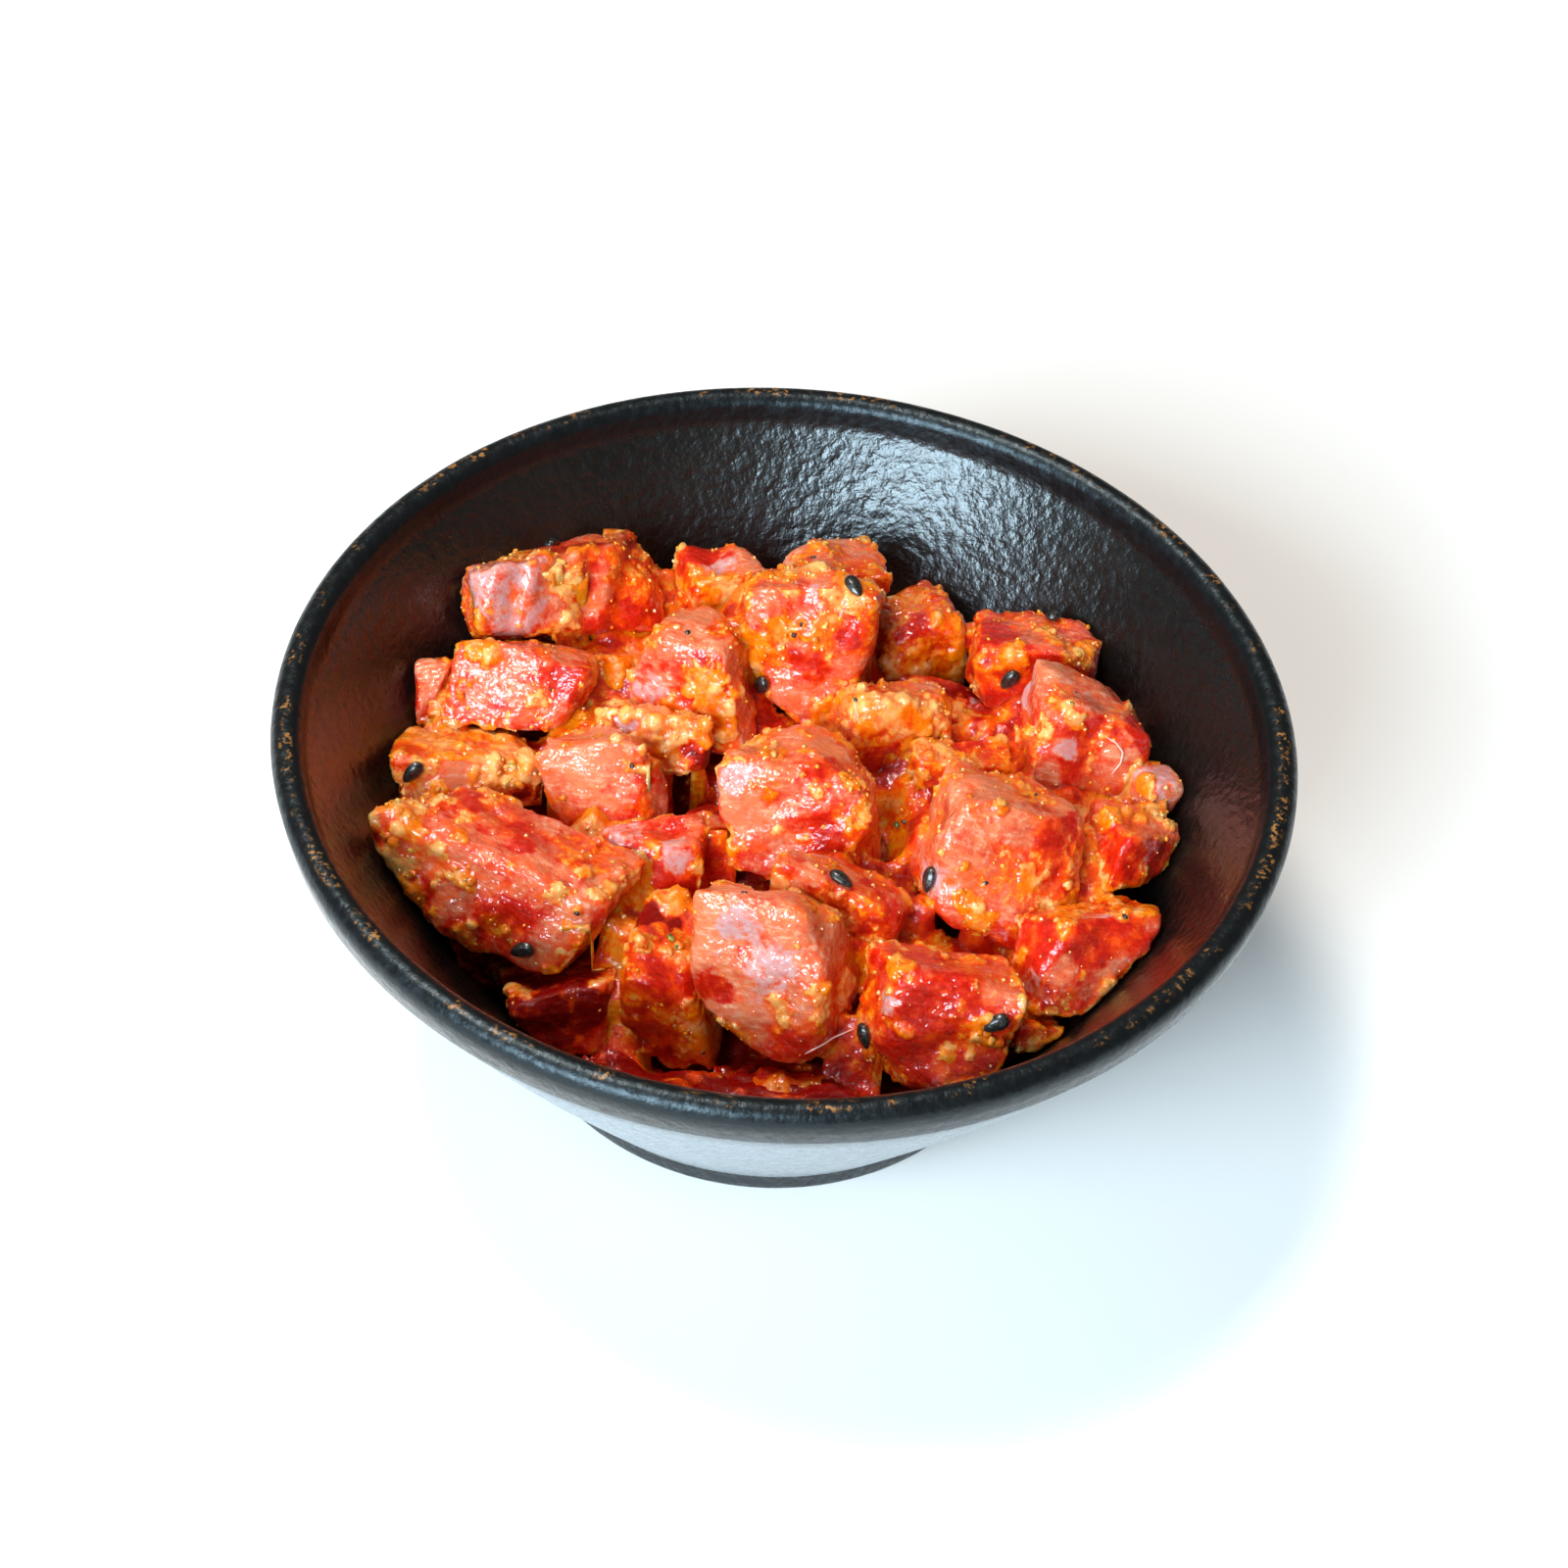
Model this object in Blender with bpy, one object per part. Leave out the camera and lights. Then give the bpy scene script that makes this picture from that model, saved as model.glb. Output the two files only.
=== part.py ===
"""A small glazed stoneware bowl of diced raw tuna in orange sauce, with black sesame seeds.

Run it with: blender --background --python part.py
The blocks of tuna are separate solids, wedged against each other over a bed of pressed-together pieces.
Sizes are in millimetres until the meshes are made, which are in metres, +Z up. The origin is on the bowl's
axis, on the surface that its foot stands on, and -Y is the front.
"""

import math

import bpy
import numpy as np
from mathutils import Matrix, Vector

MM = 0.001

# The bowl: a flared cone on a foot ring, with a bead round its lip.
RIM_RADIUS = 60.0
BOWL_HEIGHT = 50.0
LIP_RADIUS = 1.9
LIP_HEIGHT = BOWL_HEIGHT - LIP_RADIUS
LIP_STEPS = 8
SHOULDER_RADIUS = 59.5
SHOULDER_HEIGHT = 45.0
BODY_BASE_RADIUS = 32.5
FOOT_RADIUS = 31.0
FOOT_HEIGHT = 4.5
FOOT_WIDTH = 4.5
FOOT_RECESS = 2.5
FOOT_EDGE = 0.7
WALL = 4.0
WALL_BULGE = 0.45
WALL_SLOPE = math.atan2(SHOULDER_RADIUS - BODY_BASE_RADIUS, SHOULDER_HEIGHT - FOOT_HEIGHT)
WALL_ACROSS = WALL / math.cos(WALL_SLOPE)
FLOOR_HEIGHT = 8.5
FLOOR_FILLET = 12.0
FILLET_HEIGHT = FLOOR_HEIGHT + FLOOR_FILLET
FILLET_TURN = math.pi / 2 - WALL_SLOPE
FILLET_STEPS = 3
INNER_TOP = 46.5
INNER_RINGS = 4
OUTER_RINGS = 4
BOWL_STEPS = 60

# How a block of tuna is cut: six knife cuts, a little off square, and a few that take off a corner, which meet
# in rounded edges. The higher EDGE_POWER is, the sharper the edges are. A corner's cut lies at a share of the
# corner's own distance. Waves over the faces are WAVE_DEPTH of the block deep.
EDGE_POWER = 9
CUT_TILT = 0.2
CUT_SHIFT = 0.07
CORNER_CUTS = 3
CORNER_SHARES = (0.68, 0.86)
WAVES = 14
WAVE_LENGTH = 8.0
WAVE_SPREAD = (0.5, 1.4)
WAVE_DEPTH = 0.034
LONG_BLOCK = 12.5
SHORT_GRID, LONG_GRID = 4, 5

# How the blocks press on each other: each pair is parted by a plane with GAP between them, and the higher
# block keeps more of what they would share.
GAP = 0.3
LEAST_ALIGNED = 0.35
SHARE_LEAN, SHARE_SPAN = 0.3, 4.0
LEAST_REACH = 0.5
TOUCH_MARGIN = 1.0
FARTHEST = 80.0
HALVINGS = 40

# Each block of tuna: centre, then length, width and height, then turn about X, Y and Z in degrees, then
# the share of it that the sauce colours.
TUNA = {
    "tuna_back_left": ((-29.2, 30.3, 36.1), (25, 18, 14), (-34, 4, 28), 0.5),
    "tuna_back_middle": ((-10, 33, 36), (9, 9, 12), (-14, 8, 24), 0.3),
    "tuna_behind_top": ((3, 31.5, 38.5), (13, 10, 14), (-12, 20, 24), 0.9),
    "tuna_top": ((1.4, 24.4, 38.5), (17, 12, 21), (-18, 4, -10), 0.7),
    "tuna_leaning": ((-11.2, 18, 36), (14, 10, 16.5), (-26, -12, -24), 0.35),
    "tuna_back_tan": ((-22, 21, 32), (9, 8, 10), (-10, 10, 40), 0.8),
    "tuna_left_upper": ((-32.5, 15.4, 37.2), (17.5, 10, 11), (-34, 6, -12), 0.3),
    "tuna_left_far": ((-42.5, 15, 33.5), (7, 6.5, 8), (-10, 0, 20), 0.25),
    "tuna_left_pale": ((-38, 4, 33), (16, 11, 10), (-24, -4, 10), 0.85),
    "tuna_left_long": ((-33.2, -12.3, 32.8), (31.5, 13, 13), (-22, 8, -28), 0.4),
    "tuna_front_left": ((-24, -21.5, 23.5), (15, 12, 12), (-20, 4, 24), 0.45),
    "tuna_middle_left": ((-20.2, 3, 33), (12.5, 9, 13), (-28, -10, -14), 0.15),
    "tuna_left_under": ((-30, 4, 24), (12, 10, 10), (-6, 4, 22), 0.3),
    "tuna_middle_sauced": ((-16, 10, 34), (15, 7, 7), (-30, 6, 8), 0.9),
    "tuna_middle_nub": ((-9, 1, 27), (8, 6, 6), (-10, 10, 20), 0.5),
    "tuna_small_glossy": ((-15, -8, 28), (13, 10, 13), (-14, 6, 12), 0.25),
    "tuna_middle": ((3, 0, 35), (18, 13, 16), (-30, -6, -10), 0.35),
    "tuna_middle_low": ((8, -16, 33.2), (14.5, 12, 12), (-26, 10, -20), 0.45),
    "tuna_front_middle": ((1, -24.2, 32.6), (19, 12, 18), (-28, -12, -16), 0.3),
    "tuna_right_pale": ((12, 15, 32), (13, 10, 15), (-16, 8, 20), 0.8),
    "tuna_right_large": ((27, -7, 35), (19, 15, 18), (-26, 12, -8), 0.4),
    "tuna_back_right": ((15, 34, 29.3), (12, 10, 12), (-8, 4, 30), 0.8),
    "tuna_back_far_right": ((30, 28, 34), (16, 11, 10), (-14, 2, -8), 0.5),
    "tuna_right_dark": ((20, 23, 28), (13, 9, 10), (-8, 4, -10), 0.2),
    "tuna_right_upper": ((36, 13, 36), (16, 12, 13), (-24, 12, 2), 0.3),
    "tuna_right_sauced": ((22, 11, 31), (12, 7, 8), (-14, 4, 10), 0.9),
    "tuna_right_bit": ((45, 6, 36), (5, 4, 5), (-10, 18, 30), 0.1),
    "tuna_right_small": ((42, -1.4, 33.4), (12, 10, 10.5), (-18, 16, 28), 0.5),
    "tuna_front_right": ((35.5, -16.6, 32.2), (16, 12.5, 13), (-26, 16, 24), 0.3),
    "tuna_front_red": ((20, -28, 31), (17, 13, 16), (-20, 8, 10), 0.55),
    "tuna_front_bit": ((31, -26, 29.5), (7, 6, 7), (-10, 10, 20), 0.8),
    "tuna_front_minced": ((-11, -22, 25), (16, 12, 13), (-14, 4, -14), 0.8),
}

# More corners that are cut off some blocks: the way to each cut from the block's centre, and how far off it is.
SHAVED = {
    "tuna_middle_left": (((0.65, 0.54, 0.53), 5.9),),
    "tuna_leaning": (((-0.90, 0.31, 0.30), 8.3),),
    "tuna_top": (((-0.65, -0.54, -0.53), 8.2), ((0.77, 0.45, 0.45), 11.4)),
    "tuna_front_middle": (((-0.65, -0.54, -0.53), 9.3),),
    "tuna_middle": (((0.83, 0.40, 0.40), 8.5), ((-0.56, 0.59, 0.58), 10.4)),
    "tuna_right_small": (((0.33, -0.67, -0.66), 4.5),),
}

# Each black sesame seed: the block that it sticks to, the way to it from the block's centre, and how steeply
# its long side stands, in degrees, seen from outside the block.
SEEDS = (
    ("tuna_left_pale", (-0.67, -0.59, 0.45), 60),
    ("tuna_left_long", (0.41, -0.89, -0.19), 41),
    ("tuna_middle_low", (-0.06, -0.09, 0.99), 17),
    ("tuna_right_large", (-0.81, -0.54, 0.25), 118),
    ("tuna_top", (0.47, -0.02, 0.88), 120),
    ("tuna_top", (-0.60, -0.76, -0.26), 75),
    ("tuna_front_red", (0.64, -0.51, 0.57), 45),
    ("tuna_front_red", (-0.88, -0.47, 0.10), 127),
    ("tuna_back_far_right", (-0.46, -0.80, 0.40), 70),
    ("tuna_back_far_right", (0.30, 0.70, 0.60), 50),
    ("tuna_back_left", (-0.20, 0.62, 0.76), 20),
)
SEED_LENGTH, SEED_WIDTH, SEED_THICKNESS = 3.2, 1.9, 1.3
SEED_SIDES, SEED_RINGS = 6, 3
SEED_TAPER = 0.25
SEED_LIFT = 0.1
SEED_PROBE = 0.05
SEED_ASIDE = (0.3, 1.0, 0.2)
SEED_UPRIGHT = (0.2, 0.1, 1.0)

# The bed: pressed-together tuna below the blocks, from the bowl's floor up to what each block leaves room
# for. Its top is a disc of rings of points.
BED_LEVEL = 26.0
BED_LEAST_HEIGHT = 12.0
BED_RINGS = 12
BED_WALL_STEPS = 4
BED_WALL_CROWDING = 1.8
BED_EDGE_ROUNDS = 6
BED_CLEARANCE = 0.6
BED_LOOK_AROUND = 5.0
BED_WAVE_HEIGHT = 0.8
BED_WAVE_LENGTH = 10.0
BED_SEED = 101

GLAZE = (0.022, 0.020, 0.019)
TUNA_RED = (0.70, 0.13, 0.09)
SAUCE_ORANGE = (0.88, 0.36, 0.12)
BED_RED = (0.40, 0.05, 0.02)


def wall_radius(height):
    """The outer wall's radius at a height: a straight flare with a slight bulge halfway up."""
    share = (height - FOOT_HEIGHT) / (SHOULDER_HEIGHT - FOOT_HEIGHT)
    flare = BODY_BASE_RADIUS + (SHOULDER_RADIUS - BODY_BASE_RADIUS) * share
    return flare + WALL_BULGE * np.sin(math.pi * np.clip(share, 0, 1))


def fillet_centre():
    """The radius at which the floor ends and the fillet between it and the inner wall begins."""
    return float(wall_radius(FLOOR_HEIGHT)) - WALL_ACROSS - FLOOR_FILLET * math.tan(FILLET_TURN / 2)


def inner_radius(height, inset=0.0):
    """The radius of the inner wall at a height, or of a wall that lies inset from it: the outer wall less its
    thickness, rounded into the floor by an arc."""
    arc = fillet_centre() + np.sqrt(np.clip((FLOOR_FILLET - inset) ** 2 - (FILLET_HEIGHT - height) ** 2, 0, None))
    wall = wall_radius(height) - WALL_ACROSS - inset / math.cos(WALL_SLOPE)
    arc_top = FILLET_HEIGHT - (FLOOR_FILLET - inset) * math.cos(FILLET_TURN)
    return np.where(height < arc_top, np.minimum(arc, wall), wall)


def bowl_profile():
    """The bowl's section: out over its floor, up the inside, round the lip, down the outside, under the foot."""
    section = [(0.0, FLOOR_HEIGHT)]
    for angle in np.linspace(0, FILLET_TURN, FILLET_STEPS + 1):
        radius = fillet_centre() + FLOOR_FILLET * math.sin(angle)
        section.append((radius, FILLET_HEIGHT - FLOOR_FILLET * math.cos(angle)))
    for height in np.linspace(section[-1][1], INNER_TOP, INNER_RINGS + 1)[1:]:
        section.append((float(inner_radius(height)), float(height)))
    for step in range(LIP_STEPS - 1, -1, -1):
        angle = step * math.pi / LIP_STEPS
        radius = RIM_RADIUS - LIP_RADIUS + LIP_RADIUS * math.cos(angle)
        section.append((radius, LIP_HEIGHT + LIP_RADIUS * math.sin(angle)))
    for height in np.linspace(SHOULDER_HEIGHT, FOOT_HEIGHT, OUTER_RINGS + 1):
        section.append((float(wall_radius(height)), float(height)))
    foot_inner = FOOT_RADIUS - FOOT_WIDTH
    return section + [
        (FOOT_RADIUS, FOOT_HEIGHT - FOOT_EDGE),
        (FOOT_RADIUS, FOOT_EDGE),
        (FOOT_RADIUS - FOOT_EDGE, 0.0),
        (foot_inner + FOOT_EDGE, 0.0),
        (foot_inner, FOOT_RECESS),
        (0.0, FOOT_RECESS),
    ]


def turn_matrix(turn):
    """Turns about X, then Y, then Z, in degrees."""
    x, y, z = (math.radians(angle) for angle in turn)
    about = Matrix.Rotation(z, 3, "Z") @ Matrix.Rotation(y, 3, "Y") @ Matrix.Rotation(x, 3, "X")
    return np.array(about)


def unit(vectors):
    """Each vector at length 1."""
    return vectors / np.linalg.norm(vectors, axis=-1, keepdims=True)


def draw_waves(rng, length):
    """Wave vectors and phases of a sum of sines whose wavelengths lie around a length."""
    ways = unit(rng.normal(size=(WAVES, 3)))
    lengths = length * rng.uniform(*WAVE_SPREAD, WAVES)
    return ways * (2 * math.pi / lengths)[:, None], rng.uniform(0, 2 * math.pi, WAVES)


def wave_height(waves, points):
    """The sum of the sines at some points, about 1 high."""
    vectors, phases = waves
    return np.sin(points @ vectors.T + phases).sum(axis=1) / math.sqrt(WAVES / 2)


def grid_directions(block, grid):
    """Ways from a block's centre to the points of a grid on its box, and the grid's quads."""
    side = np.linspace(-1, 1, grid + 1)
    points, quads, places = [], [], {}
    for axis in range(3):
        for face in (-1, 1):
            for row in range(grid):
                for column in range(grid):
                    quad = []
                    for down, across in ((0, 0), (1, 0), (1, 1), (0, 1)):
                        point = [0.0, 0.0, 0.0]
                        point[axis] = face
                        point[(axis + 1) % 3] = side[row + down]
                        point[(axis + 2) % 3] = side[column + across]
                        place = places.setdefault(tuple(point), len(points))
                        if place == len(points):
                            points.append(point)
                        quad.append(place)
                    quads.append(quad if face > 0 else quad[::-1])
    return unit(np.array(points) * block.size @ block.turn.T), quads


class Block:
    """A block of tuna: along each way from its centre its surface lies at one distance, at which the block's
    own cuts, the planes that part it from other blocks and the bowl's wall meet smoothly."""

    def __init__(self, number, name, centre, size, turn, sauce):
        rng = np.random.RandomState(number)
        self.centre = np.array(centre, float)
        self.size = np.array(size, float)
        self.turn = turn_matrix(turn)
        self.sauce = sauce
        square = np.vstack([np.eye(3), -np.eye(3)])
        faces = unit(square + CUT_TILT * rng.uniform(-1, 1, (6, 3)))
        face_depths = np.tile(self.size, 2) / 2 * (1 + CUT_SHIFT * rng.uniform(-1, 1, 6))
        corners = rng.choice([-1, 1], (CORNER_CUTS, 3)) * self.size / 2
        corner_depths = np.linalg.norm(corners, axis=1) * rng.uniform(*CORNER_SHARES, CORNER_CUTS)
        shaved = np.array([way for way, _ in SHAVED.get(name, ())]).reshape(-1, 3)
        self.cuts = np.vstack([np.vstack([faces, unit(corners)]) @ self.turn.T, unit(shaved)])
        self.depths = np.concatenate([face_depths, corner_depths, [depth for _, depth in SHAVED.get(name, ())]])
        self.waves = draw_waves(rng, WAVE_LENGTH)
        self.parting = []
        self.directions, self.quads = grid_directions(self, LONG_GRID if max(size) > LONG_BLOCK else SHORT_GRID)
        self.own_points = self.directions * self.own_reach(self.directions)[:, None]

    def own_reach(self, directions):
        """How far the block's own surface lies along each way, before anything presses on it."""
        nearness = np.clip(directions @ self.cuts.T / self.depths, 0, None)
        smooth = (nearness**EDGE_POWER).sum(axis=1) ** (-1 / EDGE_POWER)
        return smooth * (1 + WAVE_DEPTH * wave_height(self.waves, directions * smooth[:, None]))

    def wall_reach(self, directions):
        """How far each way goes before it meets the bowl's wall or floor, by halving the distance."""
        near = np.zeros(len(directions))
        far = np.full(len(directions), FARTHEST)
        for _ in range(HALVINGS):
            middle = (near + far) / 2
            point = self.centre + directions * middle[:, None]
            inside = np.hypot(point[:, 0], point[:, 1]) < inner_radius(point[:, 2], GAP)
            clear = inside & (point[:, 2] > FLOOR_HEIGHT + GAP)
            near = np.where(clear, middle, near)
            far = np.where(clear, far, middle)
        return np.maximum(near, LEAST_REACH)

    def surface(self, directions):
        """Points on the finished surface, measured from the block's centre."""
        nearness = self.own_reach(directions) ** -EDGE_POWER + self.wall_reach(directions) ** -EDGE_POWER
        for normal, depth in self.parting:
            nearness = nearness + np.clip(directions @ normal / depth, 0, None) ** EDGE_POWER
        return directions * (nearness ** (-1 / EDGE_POWER))[:, None]


def part_blocks(first, second):
    """Part two blocks by the plane along which they overlap least, if they touch."""
    between = second.centre - first.centre
    distance = np.linalg.norm(between)
    if distance > (np.linalg.norm(first.size) + np.linalg.norm(second.size)) / 2 + TOUCH_MARGIN:
        return
    best = None
    for normal in np.vstack([between / distance, first.cuts, second.cuts, -first.cuts, -second.cuts]):
        if normal @ between <= LEAST_ALIGNED * distance:
            continue
        reaches = (first.own_points @ normal).max(), (second.own_points @ -normal).max()
        overlap = sum(reaches) - normal @ between
        if best is None or overlap < best[0]:
            best = overlap, normal, reaches
    overlap, normal, reaches = best
    if overlap < -GAP:
        return
    share = 0.5 + SHARE_LEAN * math.tanh((first.centre[2] - second.centre[2]) / SHARE_SPAN)
    first.parting.append((normal, reaches[0] - (overlap + GAP) * (1 - share)))
    second.parting.append((-normal, reaches[1] - (overlap + GAP) * share))


def make_blocks():
    """All the blocks of tuna by name, each parted from the others."""
    blocks = {name: Block(number, name, *row) for number, (name, row) in enumerate(TUNA.items())}
    row = list(blocks.values())
    for number, first in enumerate(row):
        for second in row[number + 1:]:
            part_blocks(first, second)
    return blocks


def make_material(name, colour, roughness):
    """A coloured material that isn't metal."""
    material = bpy.data.materials.new(name)
    material.use_nodes = True
    shader = material.node_tree.nodes["Principled BSDF"]
    shader.inputs["Base Color"].default_value = (*colour, 1.0)
    shader.inputs["Roughness"].default_value = roughness
    shader.inputs["Metallic"].default_value = 0.0
    return material


def add_object(name, points, faces, material=None, centre=(0, 0, 0)):
    """An object at a place, from points and faces in millimetres."""
    mesh = bpy.data.meshes.new(name)
    mesh.from_pydata([tuple(point) for point in np.asarray(points) * MM], [], faces)
    if material:
        mesh.materials.append(material)
    made = bpy.data.objects.new(name, mesh)
    made.location = Vector(centre) * MM
    bpy.context.collection.objects.link(made)
    return made


def add_bowl():
    """The bowl: its section turned once round the axis."""
    profile = bowl_profile()
    mesh = bpy.data.meshes.new("bowl")
    points = [(radius * MM, 0, height * MM) for radius, height in profile]
    mesh.from_pydata(points, [(n, n + 1) for n in range(len(points) - 1)], [])
    mesh.materials.append(make_material("black_glaze", GLAZE, 0.2))
    bowl = bpy.data.objects.new("bowl", mesh)
    bpy.context.collection.objects.link(bowl)
    screw = bowl.modifiers.new("turn", "SCREW")
    screw.axis = "Z"
    screw.steps = BOWL_STEPS
    screw.render_steps = BOWL_STEPS
    screw.use_merge_vertices = True
    screw.merge_threshold = 0.00005
    screw.use_smooth_shade = True
    return bowl


def seed_points():
    """A flat drop lying along X, as rings between two tips, with its triangles and quads."""
    points = [(-SEED_LENGTH / 2, 0.0, 0.0)]
    for ring in range(1, SEED_RINGS + 1):
        angle = math.pi * ring / (SEED_RINGS + 1)
        along = -math.cos(angle)
        girth = math.sin(angle) * (1 - SEED_TAPER * along)
        for side in range(SEED_SIDES):
            turn = 2 * math.pi * side / SEED_SIDES
            across = SEED_WIDTH / 2 * girth * math.cos(turn)
            points.append((SEED_LENGTH / 2 * along, across, SEED_THICKNESS / 2 * girth * math.sin(turn)))
    points.append((SEED_LENGTH / 2, 0.0, 0.0))
    faces = []
    for side in range(SEED_SIDES):
        after = (side + 1) % SEED_SIDES
        faces.append((0, 1 + after, 1 + side))
        for ring in range(SEED_RINGS - 1):
            start = 1 + ring * SEED_SIDES
            faces.append((start + side, start + after, start + after + SEED_SIDES, start + side + SEED_SIDES))
        last = 1 + (SEED_RINGS - 1) * SEED_SIDES
        faces.append((last + side, last + after, len(points) - 1))
    return points, faces


def seed_frame(block, way, spin):
    """Where a seed lies: on the block's surface along a way, flat against it."""
    way = unit(np.array(way, float))
    aside = unit(np.cross(way, SEED_ASIDE))
    above = np.cross(way, aside)
    ways = unit(np.array([way, way + SEED_PROBE * aside, way + SEED_PROBE * above]))
    here, beside, beyond = block.surface(ways)
    normal = unit(np.cross(beside - here, beyond - here))
    normal = normal * np.sign(normal @ way)
    along = unit(np.cross(normal, SEED_UPRIGHT))
    turned = math.cos(math.radians(spin)) * along + math.sin(math.radians(spin)) * np.cross(normal, along)
    return here + SEED_LIFT * normal, np.column_stack([turned, np.cross(normal, turned), normal])


def add_seeds(block, made, seeds):
    """Join seeds to their block by one union."""
    points, faces = seed_points()
    group = bpy.data.collections.new(made.name + "_seeds")
    for way, spin in seeds:
        at, axes = seed_frame(block, way, spin)
        seed = add_object(made.name + "_seed", at + np.array(points) @ axes.T, faces, centre=block.centre)
        bpy.context.collection.objects.unlink(seed)
        group.objects.link(seed)
    union = made.modifiers.new("join_seeds", "BOOLEAN")
    union.operation = "UNION"
    union.operand_type = "COLLECTION"
    union.collection = group
    union.solver = "EXACT"
    bpy.context.view_layer.update()
    joined = bpy.data.meshes.new_from_object(made.evaluated_get(bpy.context.evaluated_depsgraph_get()))
    made.modifiers.clear()
    made.data = joined
    for seed in list(group.objects):
        bpy.data.objects.remove(seed, do_unlink=True)
    bpy.data.collections.remove(group)


def add_tuna(blocks):
    """Each block as its own object, with any seeds that stick to it."""
    for name, block in blocks.items():
        colour = np.array(TUNA_RED) * (1 - block.sauce) + np.array(SAUCE_ORANGE) * block.sauce
        material = make_material(name, tuple(colour), 0.25)
        made = add_object(name, block.surface(block.directions), block.quads, material, block.centre)
        seeds = [(way, spin) for on, way, spin in SEEDS if on == name]
        if seeds:
            add_seeds(block, made, seeds)


def room_below(points, spots):
    """At each spot, the lowest point of any block near it."""
    distance = np.hypot(spots[:, None, 0] - points[None, :, 0], spots[:, None, 1] - points[None, :, 1])
    return np.where(distance < BED_LOOK_AROUND, points[None, :, 2], FARTHEST).min(axis=1)


def bed_top(points, waves, spots):
    """The bed's height at each spot: its own uneven level, or less where a block comes lower."""
    level = BED_LEVEL + BED_WAVE_HEIGHT * wave_height(waves, np.column_stack([spots, np.zeros(len(spots))]))
    return np.clip(np.minimum(level, room_below(points, spots) - BED_CLEARANCE), BED_LEAST_HEIGHT, None)


def add_bed(blocks):
    """The bed: a disc of rings for its top, then rings down the bowl's wall to a flat underside."""
    points = np.vstack([block.centre + block.surface(block.directions) for block in blocks.values()])
    waves = draw_waves(np.random.RandomState(BED_SEED), BED_WAVE_LENGTH)
    edge_count = 6 * BED_RINGS
    angles = 2 * math.pi * np.arange(edge_count) / edge_count
    around = np.column_stack([np.cos(angles), np.sin(angles)])
    edge_height = np.full(edge_count, BED_LEVEL)
    for _ in range(BED_EDGE_ROUNDS):
        edge_radius = inner_radius(edge_height, BED_CLEARANCE)
        edge_height = np.minimum(edge_height, bed_top(points, waves, around * edge_radius[:, None]))
    edge_radius = inner_radius(edge_height, BED_CLEARANCE)
    places = [(0.0, 0.0)]
    for ring in range(1, BED_RINGS + 1):
        for number in range(6 * ring):
            angle = 2 * math.pi * number / (6 * ring)
            radius = np.interp(angle, np.append(angles, 2 * math.pi), np.append(edge_radius, edge_radius[0]))
            share = ring / BED_RINGS
            places.append((share * radius * math.cos(angle), share * radius * math.sin(angle)))
    spots = np.array(places)
    heights = bed_top(points, waves, spots)
    heights[-edge_count:] = edge_height
    top = np.column_stack([spots, heights])
    faces = []
    for ring in range(1, BED_RINGS + 1):
        outer_start = 1 + 3 * ring * (ring - 1)
        inner_start = 1 + 3 * (ring - 1) * (ring - 2) if ring > 1 else 0
        outer_count, inner_count = 6 * ring, max(6 * (ring - 1), 1)
        for sector in range(6):
            for step in range(ring):
                outer = outer_start + sector * ring + step
                after = outer_start + (sector * ring + step + 1) % outer_count
                inner = inner_start + (sector * (ring - 1) + step) % inner_count
                faces.append((inner, outer, after))
                if step < ring - 1:
                    beside = inner_start + (sector * (ring - 1) + step + 1) % inner_count
                    faces.append((inner, after, beside))
    rings = [top]
    floor = FLOOR_HEIGHT + BED_CLEARANCE
    for step in range(1, BED_WALL_STEPS + 1):
        share = (1 - step / BED_WALL_STEPS) ** BED_WALL_CROWDING
        height = floor + (edge_height - floor) * share
        radius = inner_radius(height, BED_CLEARANCE)
        rings.append(np.column_stack([around * radius[:, None], height]))
        above = len(top) - edge_count + (step - 1) * edge_count
        for number in range(edge_count):
            after = (number + 1) % edge_count
            faces.append((above + after, above + number, above + edge_count + number, above + edge_count + after))
    bottom = len(top) + (BED_WALL_STEPS - 1) * edge_count
    faces.append(tuple(range(bottom + edge_count - 1, bottom - 1, -1)))
    add_object("tuna_bed", np.vstack(rings), faces, make_material("tuna_bed", BED_RED, 0.35))


def main():
    for old in list(bpy.data.objects):
        bpy.data.objects.remove(old, do_unlink=True)
    blocks = make_blocks()
    add_bowl()
    add_bed(blocks)
    add_tuna(blocks)


main()
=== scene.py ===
"""The looks of a small glazed stoneware bowl of diced raw tuna in orange sauce.

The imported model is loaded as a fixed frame. Every piece here is worked out in millimetres with numpy, from
the same values as the solids, and put into a mesh in metres.
"""

import math

import bpy
import numpy as np
from mathutils import Matrix


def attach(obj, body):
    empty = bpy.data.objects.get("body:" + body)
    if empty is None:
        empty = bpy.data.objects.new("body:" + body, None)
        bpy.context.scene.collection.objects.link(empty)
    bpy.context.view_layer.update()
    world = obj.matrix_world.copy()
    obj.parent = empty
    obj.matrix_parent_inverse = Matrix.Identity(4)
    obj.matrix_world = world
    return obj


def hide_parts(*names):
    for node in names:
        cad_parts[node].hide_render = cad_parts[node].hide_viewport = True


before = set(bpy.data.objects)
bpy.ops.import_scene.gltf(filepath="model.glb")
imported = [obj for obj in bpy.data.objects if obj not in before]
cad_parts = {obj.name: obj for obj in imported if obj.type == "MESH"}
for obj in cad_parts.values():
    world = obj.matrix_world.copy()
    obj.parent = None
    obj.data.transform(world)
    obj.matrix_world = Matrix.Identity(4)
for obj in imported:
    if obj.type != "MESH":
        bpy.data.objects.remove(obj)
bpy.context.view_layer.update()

MM = 0.001

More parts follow.
